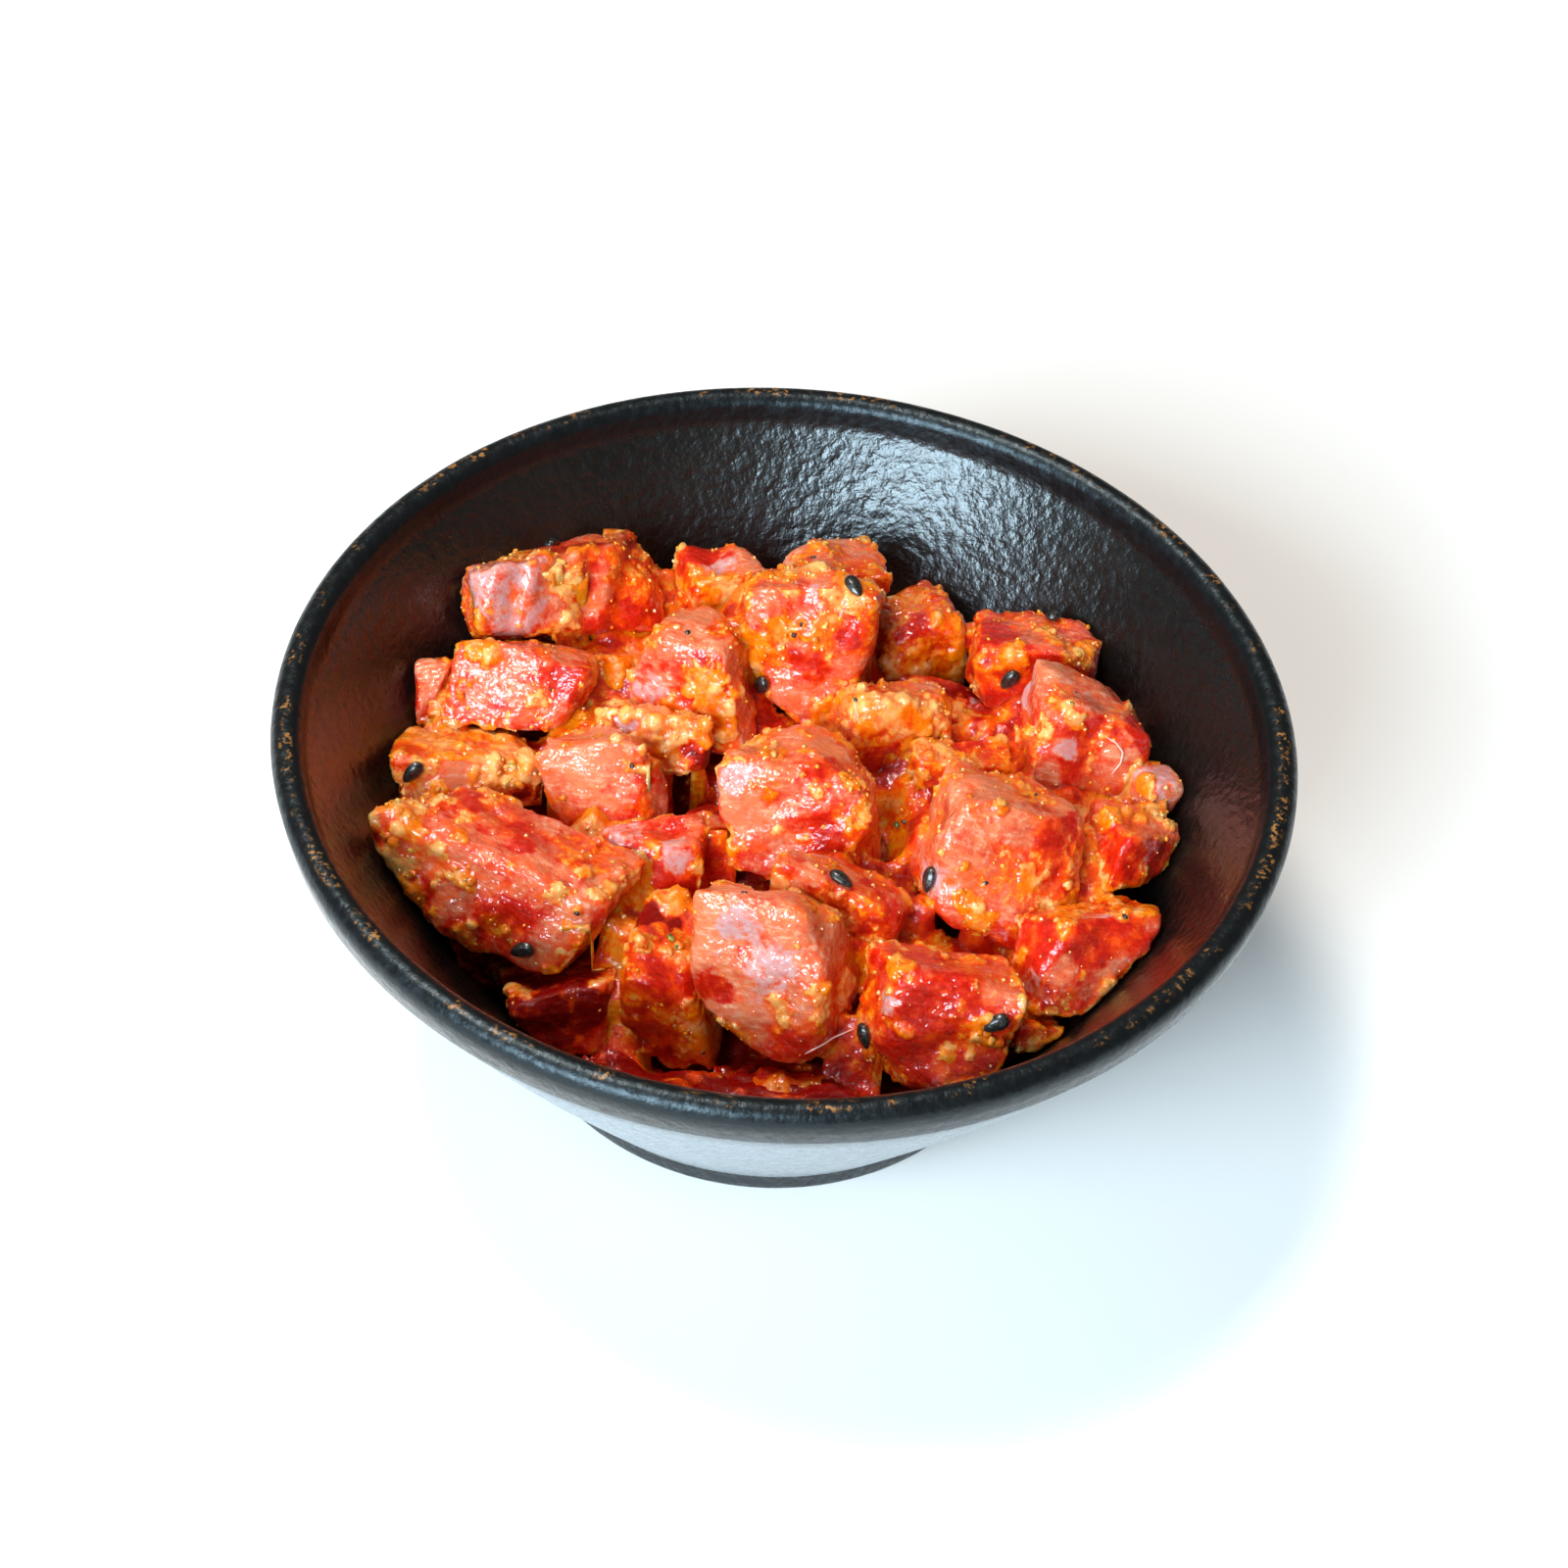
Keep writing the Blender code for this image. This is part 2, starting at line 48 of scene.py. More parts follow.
# The bowl, as its solid: a flared cone on a foot ring, with a bead round its lip.
RIM_RADIUS = 60.0
BOWL_HEIGHT = 50.0
LIP_RADIUS = 1.9
LIP_HEIGHT = BOWL_HEIGHT - LIP_RADIUS
SHOULDER_RADIUS = 59.5
SHOULDER_HEIGHT = 45.0
BODY_BASE_RADIUS = 32.5
FOOT_RADIUS = 31.0
FOOT_HEIGHT = 4.5
FOOT_WIDTH = 4.5
FOOT_RECESS = 2.5
FOOT_EDGE = 0.7
WALL = 4.0
WALL_BULGE = 0.45
WALL_SLOPE = math.atan2(SHOULDER_RADIUS - BODY_BASE_RADIUS, SHOULDER_HEIGHT - FOOT_HEIGHT)
WALL_ACROSS = WALL / math.cos(WALL_SLOPE)
FLOOR_HEIGHT = 8.5
FLOOR_FILLET = 12.0
FILLET_HEIGHT = FLOOR_HEIGHT + FLOOR_FILLET
FILLET_TURN = math.pi / 2 - WALL_SLOPE
INNER_TOP = 46.5

# How fine the bowl's skin and section are, how far the thrower's hand and the glaze make it wavy, and where
# the painted reflection that makes its outside paler fades in below the shoulder and out above the foot, as
# shares of the section's line.
BOWL_STEPS = 360
PROFILE_SPACING = 0.72
WALL_STEPS, ARC_STEPS, EDGE_STEPS = 60, 24, 6
LIP_START = 165
FOOT_COVE = 0.6
THROWN_DEPTH = 0.07
SHOULDER_FADE = (-0.004, 0.03)
FOOT_FADE = (0.004, -0.004)

# How a block of tuna is cut and how blocks press on each other, as in their solids.
EDGE_POWER = 9
CUT_TILT = 0.2
CUT_SHIFT = 0.07
CORNER_CUTS = 3
CORNER_SHARES = (0.68, 0.86)
WAVES = 14
WAVE_LENGTH = 8.0
WAVE_SPREAD = (0.5, 1.4)
WAVE_DEPTH = 0.034
LONG_BLOCK = 12.5
SHORT_GRID, LONG_GRID = 4, 5
GAP = 0.3
LEAST_ALIGNED = 0.35
SHARE_LEAN, SHARE_SPAN = 0.3, 4.0
LEAST_REACH = 0.5
TOUCH_MARGIN = 1.0
FARTHEST = 80.0
HALVINGS = 26

# Each block of tuna: centre, then length, width and height, then turn about X, Y and Z in degrees, then the
# share of it that the sauce covers, then how pale its flesh is.
TUNA = {
    "tuna_back_left": ((-29.2, 30.3, 36.1), (25, 18, 14), (-34, 4, 28), 0.35, 0.5),
    "tuna_back_middle": ((-10, 33, 36), (9, 9, 12), (-14, 8, 24), 0.25, 0.4),
    "tuna_behind_top": ((3, 31.5, 38.5), (13, 10, 14), (-12, 20, 24), 0.6, 0.4),
    "tuna_top": ((1.4, 24.4, 38.5), (17, 12, 21), (-18, 4, -10), 0.45, 0.5),
    "tuna_leaning": ((-11.2, 18, 36), (14, 10, 16.5), (-26, -12, -24), 0.25, 0.7),
    "tuna_back_tan": ((-22, 21, 32), (9, 8, 10), (-10, 10, 40), 0.7, 0.6),
    "tuna_left_upper": ((-32.5, 15.4, 37.2), (17.5, 10, 11), (-34, 6, -12), 0.25, 0.5),
    "tuna_left_far": ((-42.5, 15, 33.5), (7, 6.5, 8), (-10, 0, 20), 0.2, 0.5),
    "tuna_left_pale": ((-38, 4, 33), (16, 11, 10), (-24, -4, 10), 0.75, 0.6),
    "tuna_left_long": ((-33.2, -12.3, 32.8), (31.5, 13, 13), (-22, 8, -28), 0.3, 0.35),
    "tuna_front_left": ((-24, -21.5, 23.5), (15, 12, 12), (-20, 4, 24), 0.3, 0.2),
    "tuna_middle_left": ((-20.2, 3, 33), (12.5, 9, 13), (-28, -10, -14), 0.12, 0.6),
    "tuna_left_under": ((-30, 4, 24), (12, 10, 10), (-6, 4, 22), 0.3, 0.1),
    "tuna_middle_sauced": ((-16, 10, 34), (15, 7, 7), (-30, 6, 8), 0.8, 0.6),
    "tuna_middle_nub": ((-9, 1, 27), (8, 6, 6), (-10, 10, 20), 0.4, 0.5),
    "tuna_small_glossy": ((-15, -8, 28), (13, 10, 13), (-14, 6, 12), 0.15, 0.2),
    "tuna_middle": ((3, 0, 35), (18, 13, 16), (-30, -6, -10), 0.25, 0.55),
    "tuna_middle_low": ((8, -16, 33.2), (14.5, 12, 12), (-26, 10, -20), 0.35, 0.4),
    "tuna_front_middle": ((1, -24.2, 32.6), (19, 12, 18), (-28, -12, -16), 0.22, 0.7),
    "tuna_right_pale": ((12, 15, 32), (13, 10, 15), (-16, 8, 20), 0.7, 0.5),
    "tuna_right_large": ((27, -7, 35), (19, 15, 18), (-26, 12, -8), 0.28, 0.6),
    "tuna_back_right": ((15, 34, 29.3), (12, 10, 12), (-8, 4, 30), 0.7, 0.2),
    "tuna_back_far_right": ((30, 28, 34), (16, 11, 10), (-14, 2, -8), 0.45, 0.2),
    "tuna_right_dark": ((20, 23, 28), (13, 9, 10), (-8, 4, -10), 0.15, 0.1),
    "tuna_right_upper": ((36, 13, 36), (16, 12, 13), (-24, 12, 2), 0.2, 0.55),
    "tuna_right_sauced": ((22, 11, 31), (12, 7, 8), (-14, 4, 10), 0.8, 0.4),
    "tuna_right_bit": ((45, 6, 36), (5, 4, 5), (-10, 18, 30), 0.1, 0.6),
    "tuna_right_small": ((42, -1.4, 33.4), (12, 10, 10.5), (-18, 16, 28), 0.35, 0.2),
    "tuna_front_right": ((35.5, -16.6, 32.2), (16, 12.5, 13), (-26, 16, 24), 0.3, 0.3),
    "tuna_front_red": ((20, -28, 31), (17, 13, 16), (-20, 8, 10), 0.35, 0.2),
    "tuna_front_bit": ((31, -26, 29.5), (7, 6, 7), (-10, 10, 20), 0.5, 0.3),
    "tuna_front_minced": ((-11, -22, 25), (16, 12, 13), (-14, 4, -14), 0.6, 0.1),
}

# More corners that are cut off some blocks: the way to each cut from the block's centre, and how far off it
# is.
SHAVED = {
    "tuna_middle_left": (((0.65, 0.54, 0.53), 5.9),),
    "tuna_leaning": (((-0.90, 0.31, 0.30), 8.3),),
    "tuna_top": (((-0.65, -0.54, -0.53), 8.2), ((0.77, 0.45, 0.45), 11.4)),
    "tuna_front_middle": (((-0.65, -0.54, -0.53), 9.3),),
    "tuna_middle": (((0.83, 0.40, 0.40), 8.5), ((-0.56, 0.59, 0.58), 10.4)),
    "tuna_right_small": (((0.33, -0.67, -0.66), 4.5),),
}

# What covers each block where the photograph shows it: the kind, how far across and down its middle lies in
# the photograph, in pixels, and how far it reaches, in millimetres.
# The deep_shade marks are painted shade, put on the dark gaps and hollows between blocks.
MARKS = {
    "tuna_back_left": (
        ("film_and_sheen", 505, 612, 8), ("film_and_sheen", 520, 642, 4), ("cream", 584, 592, 2.4), ("cream", 586, 632, 2.4),
        ("sauce", 489, 641, 2.4), ("red", 632, 628, 6), ("smear", 639, 582, 5), ("red", 565, 552, 5),
        ("smear", 651, 545, 4), ("sauce", 524, 556, 3), ("sauce", 555, 658, 2.4), ("smear", 682, 580, 4),
    ),
    "tuna_back_middle": (("film_and_sheen", 734, 577, 3.4), ("red", 712, 561, 4), ("cream", 745, 602, 2.6)),
    "tuna_behind_top": (("pale", 795, 553, 4), ("smear", 890, 603, 6)),
    "tuna_top": (
        ("pink", 782, 605, 5), ("cream", 827, 575, 3.6), ("film_and_sheen", 835, 602, 2.6), ("smear", 772, 568, 2.4),
        ("sauce", 833, 641, 3.4), ("sauce", 800, 640, 2.8), ("red", 827, 681, 3.6), ("red", 858, 655, 2),
        ("sauce", 772, 667, 3), ("pink", 811, 714, 4), ("smear", 886, 625, 3.4), ("cream", 858, 610, 2.8),
        ("pink", 870, 684, 3.4), ("sauce", 845, 725, 2.2),
    ),
    "tuna_leaning": (
        ("pale", 696, 625, 7), ("sauce", 725, 697, 3.6), ("sauce", 705, 680, 2.4), ("film_and_sheen", 655, 699, 3.4),
        ("smear", 742, 642, 2.8), ("pink", 680, 662, 4),
    ),
    "tuna_back_tan": (("cream", 626, 658, 5), ("sauce", 632, 695, 3)),
    "tuna_left_upper": (
        ("pink", 540, 695, 7), ("sauce", 495, 670, 2.8), ("cream", 546, 711, 1.7), ("smear", 600, 708, 3.2),
        ("red", 575, 690, 3.4), ("sauce", 480, 702, 2.2), ("smear", 560, 668, 3.4), ("pink", 505, 705, 4),
    ),
    "tuna_middle_sauced": (
        ("cream", 655, 742, 3.2), ("film_and_sheen", 640, 735, 1.8), ("cream", 690, 745, 3.2), ("red", 702, 765, 2.0),
        ("deep_shade", 725, 790, 3.4),
    ),
    "tuna_left_far": (("pink", 444, 700, 5), ("sauce", 465, 660, 2.4)),
    "tuna_left_pale": (
        ("cream", 444, 759, 4), ("cream", 493, 777, 3.4), ("cream", 525, 769, 2.8),
        ("smear", 416, 765, 3.4), ("sauce", 470, 745, 2.4), ("pale", 465, 787, 3), ("deep_shade", 535, 812, 2.6),
        ("cream", 460, 735, 2.6),
    ),
    "tuna_left_long": (
        ("pink", 500, 862, 7), ("red", 475, 814, 4.6), ("sauce", 408, 843, 3.4), ("sauce", 472, 899, 2),
        ("sauce", 472, 950, 2.2), ("sauce", 597, 889, 2.4), ("cream", 442, 896, 1.4),
        ("cream", 564, 909, 2.4), ("pink", 447, 924, 4.6), ("cream", 405, 880, 4), ("sauce", 425, 915, 3),
        ("cream", 622, 909, 2.8), ("smear", 590, 865, 4.4), ("smear", 500, 942, 3.4),
        ("pink", 540, 905, 3.6), ("cream", 425, 822, 2.2), ("red", 530, 850, 4.4),
    ),
    "tuna_front_left": (
        ("red", 577, 981, 7), ("deep_shade", 560, 1030, 8), ("smear", 559, 963, 2.8), ("pink", 620, 960, 3.0),
    ),
    "tuna_left_under": (("deep_shade", 535, 820, 7), ("red", 523, 790, 5), ("film_and_sheen", 567, 756, 1.6)),
    "tuna_middle_left": (
        ("pale", 610, 785, 7), ("red", 664, 765, 3.6), ("smear", 602, 838, 2.8), ("smear", 650, 820, 2.4),
        ("pink", 640, 803, 3.4),
    ),
    "tuna_middle_nub": (("pink", 697, 825, 2.4), ("deep_shade", 722, 782, 4.6)),
    "tuna_small_glossy": (
        ("film_and_sheen", 632, 852, 5), ("sauce", 666, 858, 1.8), ("red", 666, 899, 6), ("film_and_sheen", 690, 870, 2.8),
        ("red", 640, 887, 3.4),
    ),
    "tuna_front_minced": (
        ("deep_shade", 655, 930, 5.0), ("smear", 641, 1006, 4.6), ("smear", 660, 985, 3.0),
        ("red", 690, 1005, 4.0), ("red", 625, 1040, 4.6), ("sauce", 700, 965, 2.4),
    ),
    "tuna_middle": (
        ("pink", 810, 800, 7), ("red", 838, 779, 3.6), ("sauce", 871, 752, 2.6), ("sauce", 871, 801, 2.2),
        ("sauce", 879, 830, 2.4), ("film_and_sheen", 750, 800, 3.4), ("sauce", 777, 812, 2.4),
        ("cream", 831, 807, 1.2), ("cream", 792, 848, 1.2), ("red", 835, 852, 3.6),
        ("cream", 772, 752, 3.4), ("pale", 757, 830, 3.6), ("sauce", 790, 770, 1.8),
        ("pink", 790, 870, 3.4),
    ),
    "tuna_middle_low": (
        ("sauce", 843, 880, 2.4), ("smear", 892, 924, 4.6), ("pale", 815, 905, 3.6),
        ("cream", 797, 899, 1.7), ("red", 900, 900, 3.4), ("smear", 872, 882, 2.8),
    ),
    "tuna_front_middle": (
        ("pale", 736, 950, 7), ("sauce", 744, 899, 2.6), ("film_and_sheen", 785, 985, 5.5), ("cream", 846, 1013, 3.4),
        ("cream", 802, 1038, 2.8), ("sauce", 746, 1052, 2.6), ("red", 808, 1070, 4),
        ("pink", 850, 975, 4.6), ("red", 730, 1012, 3.4), ("film_and_sheen", 760, 942, 3.4), ("pink", 790, 920, 3.4),
    ),
    "tuna_right_pale": (
        ("cream", 913, 718, 3.4), ("cream", 922, 800, 4), ("red", 897, 775, 3.4), ("smear", 915, 832, 2.8),
        ("smear", 900, 702, 3.4),
    ),
    "tuna_right_large": (
        ("pale", 1002, 835, 7), ("sauce", 1023, 784, 2.8), ("sauce", 1018, 822, 2), ("red", 1075, 860, 6),
        ("film_and_sheen", 950, 900, 4.4), ("sauce", 985, 922, 1.8), ("sauce", 997, 940, 2.6),
        ("cream", 1069, 894, 1.4), ("pink", 965, 850, 4.6), ("smear", 1063, 805, 3.4),
        ("pink", 1040, 850, 3.4),
    ),
    "tuna_right_sauced": (
        ("sauce", 987, 753, 2.8), ("sauce", 1008, 748, 2), ("cream", 960, 762, 2.2), ("red", 975, 725, 3.4),
    ),
    "tuna_back_right": (("smear", 951, 615, 5), ("red", 935, 645, 4), ("smear", 965, 640, 3)),
    "tuna_back_far_right": (
        ("red", 1013, 646, 4), ("smear", 1084, 636, 2.8), ("smear", 1030, 625, 3.4),
        ("sauce", 1033, 667, 2), ("red", 1089, 657, 1.7), ("sauce", 1110, 664, 2.2),
        ("sauce", 1075, 652, 1.8), ("pink", 1060, 640, 2.8),
    ),
    "tuna_right_dark": (
        ("deep_shade", 977, 680, 6), ("red", 960, 660, 5), ("film_and_sheen", 1000, 723, 2.4), ("sauce", 955, 705, 1.8),
    ),
    "tuna_right_upper": (
        ("film_and_sheen", 1045, 705, 4.6), ("pink", 1125, 706, 4), ("sauce", 1043, 748, 2), ("cream", 1070, 740, 2),
        ("cream", 1099, 733, 2), ("sauce", 1102, 750, 1.6), ("red", 1092, 774, 3.6),
        ("red", 1166, 745, 3.6), ("pale", 1140, 775, 2.4), ("film_and_sheen", 1085, 765, 1.8),
        ("smear", 1165, 720, 2.8), ("cream", 1155, 790, 1.7),
    ),
    "tuna_right_bit": (("film_and_sheen", 1186, 797, 4), ("sauce", 1170, 805, 1.6)),
    "tuna_right_small": (
        ("sauce", 1173, 828, 2.8), ("red", 1140, 870, 5), ("cream", 1190, 835, 2.2),
        ("sauce", 1125, 832, 2.2),
    ),
    "tuna_front_right": (
        ("sauce", 1122, 916, 3.2), ("sauce", 1095, 908, 2.2), ("film_and_sheen", 1120, 932, 3.4),
        ("red", 1110, 963, 4), ("film_and_sheen", 1050, 995, 2.2), ("red", 1060, 965, 4), ("red", 1140, 960, 4),
        ("pink", 1080, 1000, 2.8),
    ),
    "tuna_front_red": (
        ("red", 961, 1015, 7.5), ("sauce", 915, 985, 2.4), ("cream", 945, 957, 2), ("film_and_sheen", 900, 1020, 2),
        ("pink", 1022, 1013, 2.8), ("red", 922, 1080, 4.6), ("sauce", 971, 1078, 1.6),
        ("sauce", 990, 980, 2.2), ("smear", 885, 1000, 3.4), ("smear", 1000, 1060, 2.8),
        ("sauce", 1005, 1045, 1.7),
    ),
    "tuna_front_bit": (("smear", 1047, 1034, 5),),
}

# What each kind of cover is: how pale the flesh is, how much film and how much sauce lie on it, and how
# creamy the sauce is. The paleness below 0 of deep_shade is painted shade, which darkens the flesh to deep
# red.
KINDS = {
    "deep_shade": (-0.9, 0.0, 0.0, 0.1),
    "red": (0.08, 0.0, 0.08, 0.2),
    "pink": (0.62, 0.1, 0.10, 0.3),
    "pale": (1.0, 0.2, 0.08, 0.4),
    # film_and_sheen: the pale film on the flesh, partly painted sheen where marks put it on faces that catch
    # the light.
    "film_and_sheen": (0.7, 1.0, 0.0, 0.5),
    "smear": (0.2, 0.0, 0.42, 0.05),
    "sauce": (0.4, 0.0, 0.85, 0.15),
    "cream": (0.6, 0.0, 0.80, 0.75),
}

# The noises: how long the largest waves of each are, in millimetres, the number that it is drawn by, to
# which each block adds its own, and how many layers it has. Each layer is turned from the one before, in
# degrees.
NOISES = {
    "pale": (5.0, 1000, 3), "sauce": (3.4, 1005, 4), "film_and_sheen": (4.2, 1009, 3), "cream": (2.2, 1013, 2),
    "mark": (2.4, 1017, 4), "fibre": (0.9, 3000, 2), "sauce_edge": (1.1, 3002, 3), "pore": (0.8, 3003, 2),
    "dent": (5.0, 3006, 3), "ragged": (2.0, 3008, 3), "blob": (1.6, 4000, 3), "thrown": (9.0, 77, 2),
    "bed_rough": (1.4, 72, 2), "bed_sauce": (3.0, 74, 3), "fill_wander": (6.0, 81, 3),
    "fill_rough": (1.3, 82, 2), "fill_sauce": (2.6, 84, 3), "fill_cream": (3.4, 85, 2),
}
NOISE_TURN = (37, 23, 51)
LAYER_STEP = 31
BLOCK_STEP = 50

# Rounded grains: how far apart those of each kind lie, in millimetres, and the number that they are drawn
# by; then the share of that distance, squared, at which a grain ends, and what is added for the grain's own
# number.
DOMES = {
    "blob": (2.7, 3010), "lump": (1.3, 3011), "grain": (0.8, 3019), "bed_lump": (4.5, 71),
    "bed_grain": (0.8, 75), "fill_lump": (1.8, 83), "fill_grain": (0.8, 86),
}
DOME_END = 0.5
DOME_OWN_STEP = 7

# Large odd numbers that mix a cell's three numbers and its seed, and how they are folded to 32 bits and
# then 24.
CELL_MIX = (73856093, 19349663, 83492791)
SEED_MIX = 668265263
FOLDS = ((13, 1274126177), (16, 2246822519))
LAST_FOLD = 15
BITS_32, BITS_24 = 0xFFFFFFFF, 0xFFFFFF

# What covers a block before its marks: for each of paleness, sauce and creaminess, a constant, and how much
# its noise, the block's own share, edges, places where blocks meet and a lean to the sky each add. The
# paleness that the lean to the sky adds is painted light on the tops, and the paleness that places where
# blocks meet take away is painted shade. The film is as strong as FILM_MOST where its noise is high.
COVER_MIX = {
    "pale": (-0.18, 1.3, 1.0, 0.0, -0.4, 0.45),
    "sauce": (-0.14, 2.0, 0.9, 0.22, 0.30, 0.05),
    "cream": (0.30, 2.2, 0.0, 0.0, 0.0, 0.0),
}
FILM_MOST = 0.6
FILM_NOISE = (0.12, 0.28)
EDGE_FACING = (0.80, 0.985)
MEETING_FREE = (0.3, 0.95)

# How raggedly a mark ends, how quickly it fades, and how far outside its reach a rag of it can lie.
MARK_RAGGED = 2.2
MARK_FADE = (0.0, 0.65)
MARK_END = -0.6

# The skin of a block: how far apart its points lie, and how high its dents, ragged edges, fibres and pores
# are.
SKIN_SPACING = 0.27
SKIN_LEAST_STEPS = 8
FIBRE_STRETCH = (0.16, 1.0, 1.0)
FIBRE_HEIGHT = 0.14
PORE_HEIGHT = 0.18
DENT_HEIGHT = 0.8
RAGGED_HEIGHT = 0.42
RAGGED_ON_FACE, RAGGED_ON_EDGE = 0.1, 0.7
INWARD = 0.25

# The sauce on it: from how much cover it has a thickness, how far noise shifts that, how much of the
# flesh's relief it hides, how high the coat, its blobs, lumps and grains are, and how much higher on a
# crumbly block.
SAUCE_FROM, SAUCE_FULL = 0.36, 0.80
SAUCE_EDGE_SHIFT = 0.9
SAUCE_HIDES = 0.7
SAUCE_HEIGHT = 0.22
BLOB_HEIGHT = 0.42
LUMP_HEIGHT = 0.22
GRAIN_HEIGHT = 0.10
GRAIN_OWN = (0.4, 0.7)
GRAINS_ON_FLESH = 0.3
CRUMBLY_SAUCE, CRUMBLY_RISE = 0.55, 1.7
# How much blobs, lumps and grains add to how high a lump is, which the material paints as shade in the
# hollows and highlight on the tops.
LUMP_SHADES = (0.5, 0.4, 0.4)

# Where a block is pressed, its skin stands out no further than this.
PRESSED_HEIGHT = 0.26
PRESSED_FREE = (0.25, 0.9)

# How far apart the fibres of two blocks are drawn.
FIBRE_SHIFT = 40.0

# The sauce that fills the gaps between the blocks: the spacing of its points, then for narrow and for wide
# gaps how wide they are, how far below the tops the sauce stays there, and how far noise shifts that.
FILL_SPACING = 0.36
WIDE_GAP = 4.0
GAPS = ((1.4, 1.3, 3.5), (WIDE_GAP, 5.5, 2.0))

# How far in from the blocks, the wall and the bed the sauce stays, how it is smoothed, which neighbours of a
# cell count, how thick and rough it is, and its cover: for each of paleness, sauce and creaminess, a
# constant, what a millimetre of depth adds and what noise adds. What depth takes away is painted shade, which
# makes the sauce darker, redder and less creamy deep in the gaps.
FILL_INSET = 0.75
FILL_FROM_WALL = 4.0
FILL_WALL_GAP = 0.8
FILL_OVER_BED = 4.0
FILL_RISE = 0.4
FILL_ROUNDS = 4
FILL_KEPT = 0.5
LITTLE = 1e-6
NEXT_CELLS = 1.5
FILL_THICKNESS = 1.2
FILL_ROUGH = 0.5
FILL_LUMP, FILL_LUMP_SUNK = 0.6, 0.4
FILL_COVER_WITH_SHADE = ((0.5, -0.12, 0.0), (0.95, -0.05, 1.6), (0.45, -0.08, 2.2))

# Where the gaps stay open: across and down in the photograph, in pixels, and how wide, in millimetres; then
# how deep they go, and from where to where they fade, as shares of the width.
HOLES = (
    (721, 785, 6.0), (905, 842, 2.6), (500, 1000, 5.0), (745, 885, 2.5), (1060, 925, 2.0), (540, 815, 5.0),
    (975, 680, 5.0), (893, 1000, 4.0), (560, 1060, 6.0), (700, 1085, 5.0),
)
HOLE_DEPTH = 9.0
HOLE_FADE = (1.2, 0.4)

# Loose lumps and grains of the sauce: how many, how large, how crowded towards the smaller radius, and the
# rings and sides of each; then each grain's tint, and how often it comes.
LUMPS, LUMP_RADII, LUMP_CROWDING, LUMP_RINGS = 300, (0.20, 0.58), 2.2, (9, 14)
GRAINS, GRAIN_RADII, GRAIN_CROWDING, GRAIN_RINGS = 1700, (0.10, 0.30), 2, (3, 6)
GRAIN_TINTS = (
    (0.88, 0.26, 0.01), (0.88, 0.34, 0.04), (0.86, 0.42, 0.15), (0.84, 0.15, 0.004), (0.88, 0.52, 0.26),
)
TINT_SHARES = (0.3, 0.3, 0.15, 0.15, 0.10)

# Where they lie: how far up the skin faces, how free it is, how high it is, and how likely they are where
# there is no sauce. How each is roughened, as heights, waves and shifts of sines, drawn out, lifted and
# pressed flat.
LOOSE_SEED = 55
LOOSE_LEAN, LOOSE_FREE = -0.5, 0.75
LOOSE_FROM, LOOSE_TO = 24, BOWL_HEIGHT - 1.2
LOOSE_LEAST = 0.06
ROUGH_SINES = ((0.22, 2.6, 1.3), (0.18, 3.7, 0.0))
DRAWN_OUT = (0.8, 1.3)
LOOSE_LIFT = 0.1
SAUCE_FLATNESS, PEPPER_FLATNESS, HERB_FLATNESS = 0.8, 0.5, 0.45
LOOSE_COVER = (0.4, 0.0, 0.9, 0.7)
LOOSE_LUMP = 0.5

# Specks of pepper, by their places in the photograph in pixels, and how large they are, in millimetres.
PEPPER = (
    (830, 563), (821, 637), (810, 651), (564, 709), (1057, 805), (722, 1078), (918, 838), (640, 780),
    (1003, 905), (868, 712), (760, 905), (1150, 930), (592, 935), (702, 640),
)
PEPPER_SIZE = 0.42
PEPPER_SHARE = (0.4, 1.0)

# How far off its place, in pixels, a piece may lie on the skin.
SPOT_REACH = 6

# Pale sinews that lie on the blocks, as points in the photograph in pixels, and how thick they are; and
# flecks of green herb and one pale hull, with their half-lengths in millimetres.
SINEWS = (
    ((822, 1081), (833, 1075), (845, 1068), (856, 1059), (866, 1050)),
    ((1131, 757), (1140, 763), (1146, 773), (1145, 784), (1138, 794)),
)
SINEW_RADIUS = 0.13
SINEW_STEPS, SINEW_SIDES = 40, 8
SINEW_ROUNDS = 3
SINEW_ASIDE = (0.1, 0.2, 1.0)
SINEW_ENDS = (0.04, 0.96)
SINEW_LIFT = 0.1
SINEW_TINT = (0.86, 0.50, 0.42, 1.0)
HERBS = (
    (1092, 713, 0.34), (1101, 703, 0.2), (687, 953, 0.55), (691, 961, 0.4), (912, 838, 0.5), (602, 872, 0.2),
)

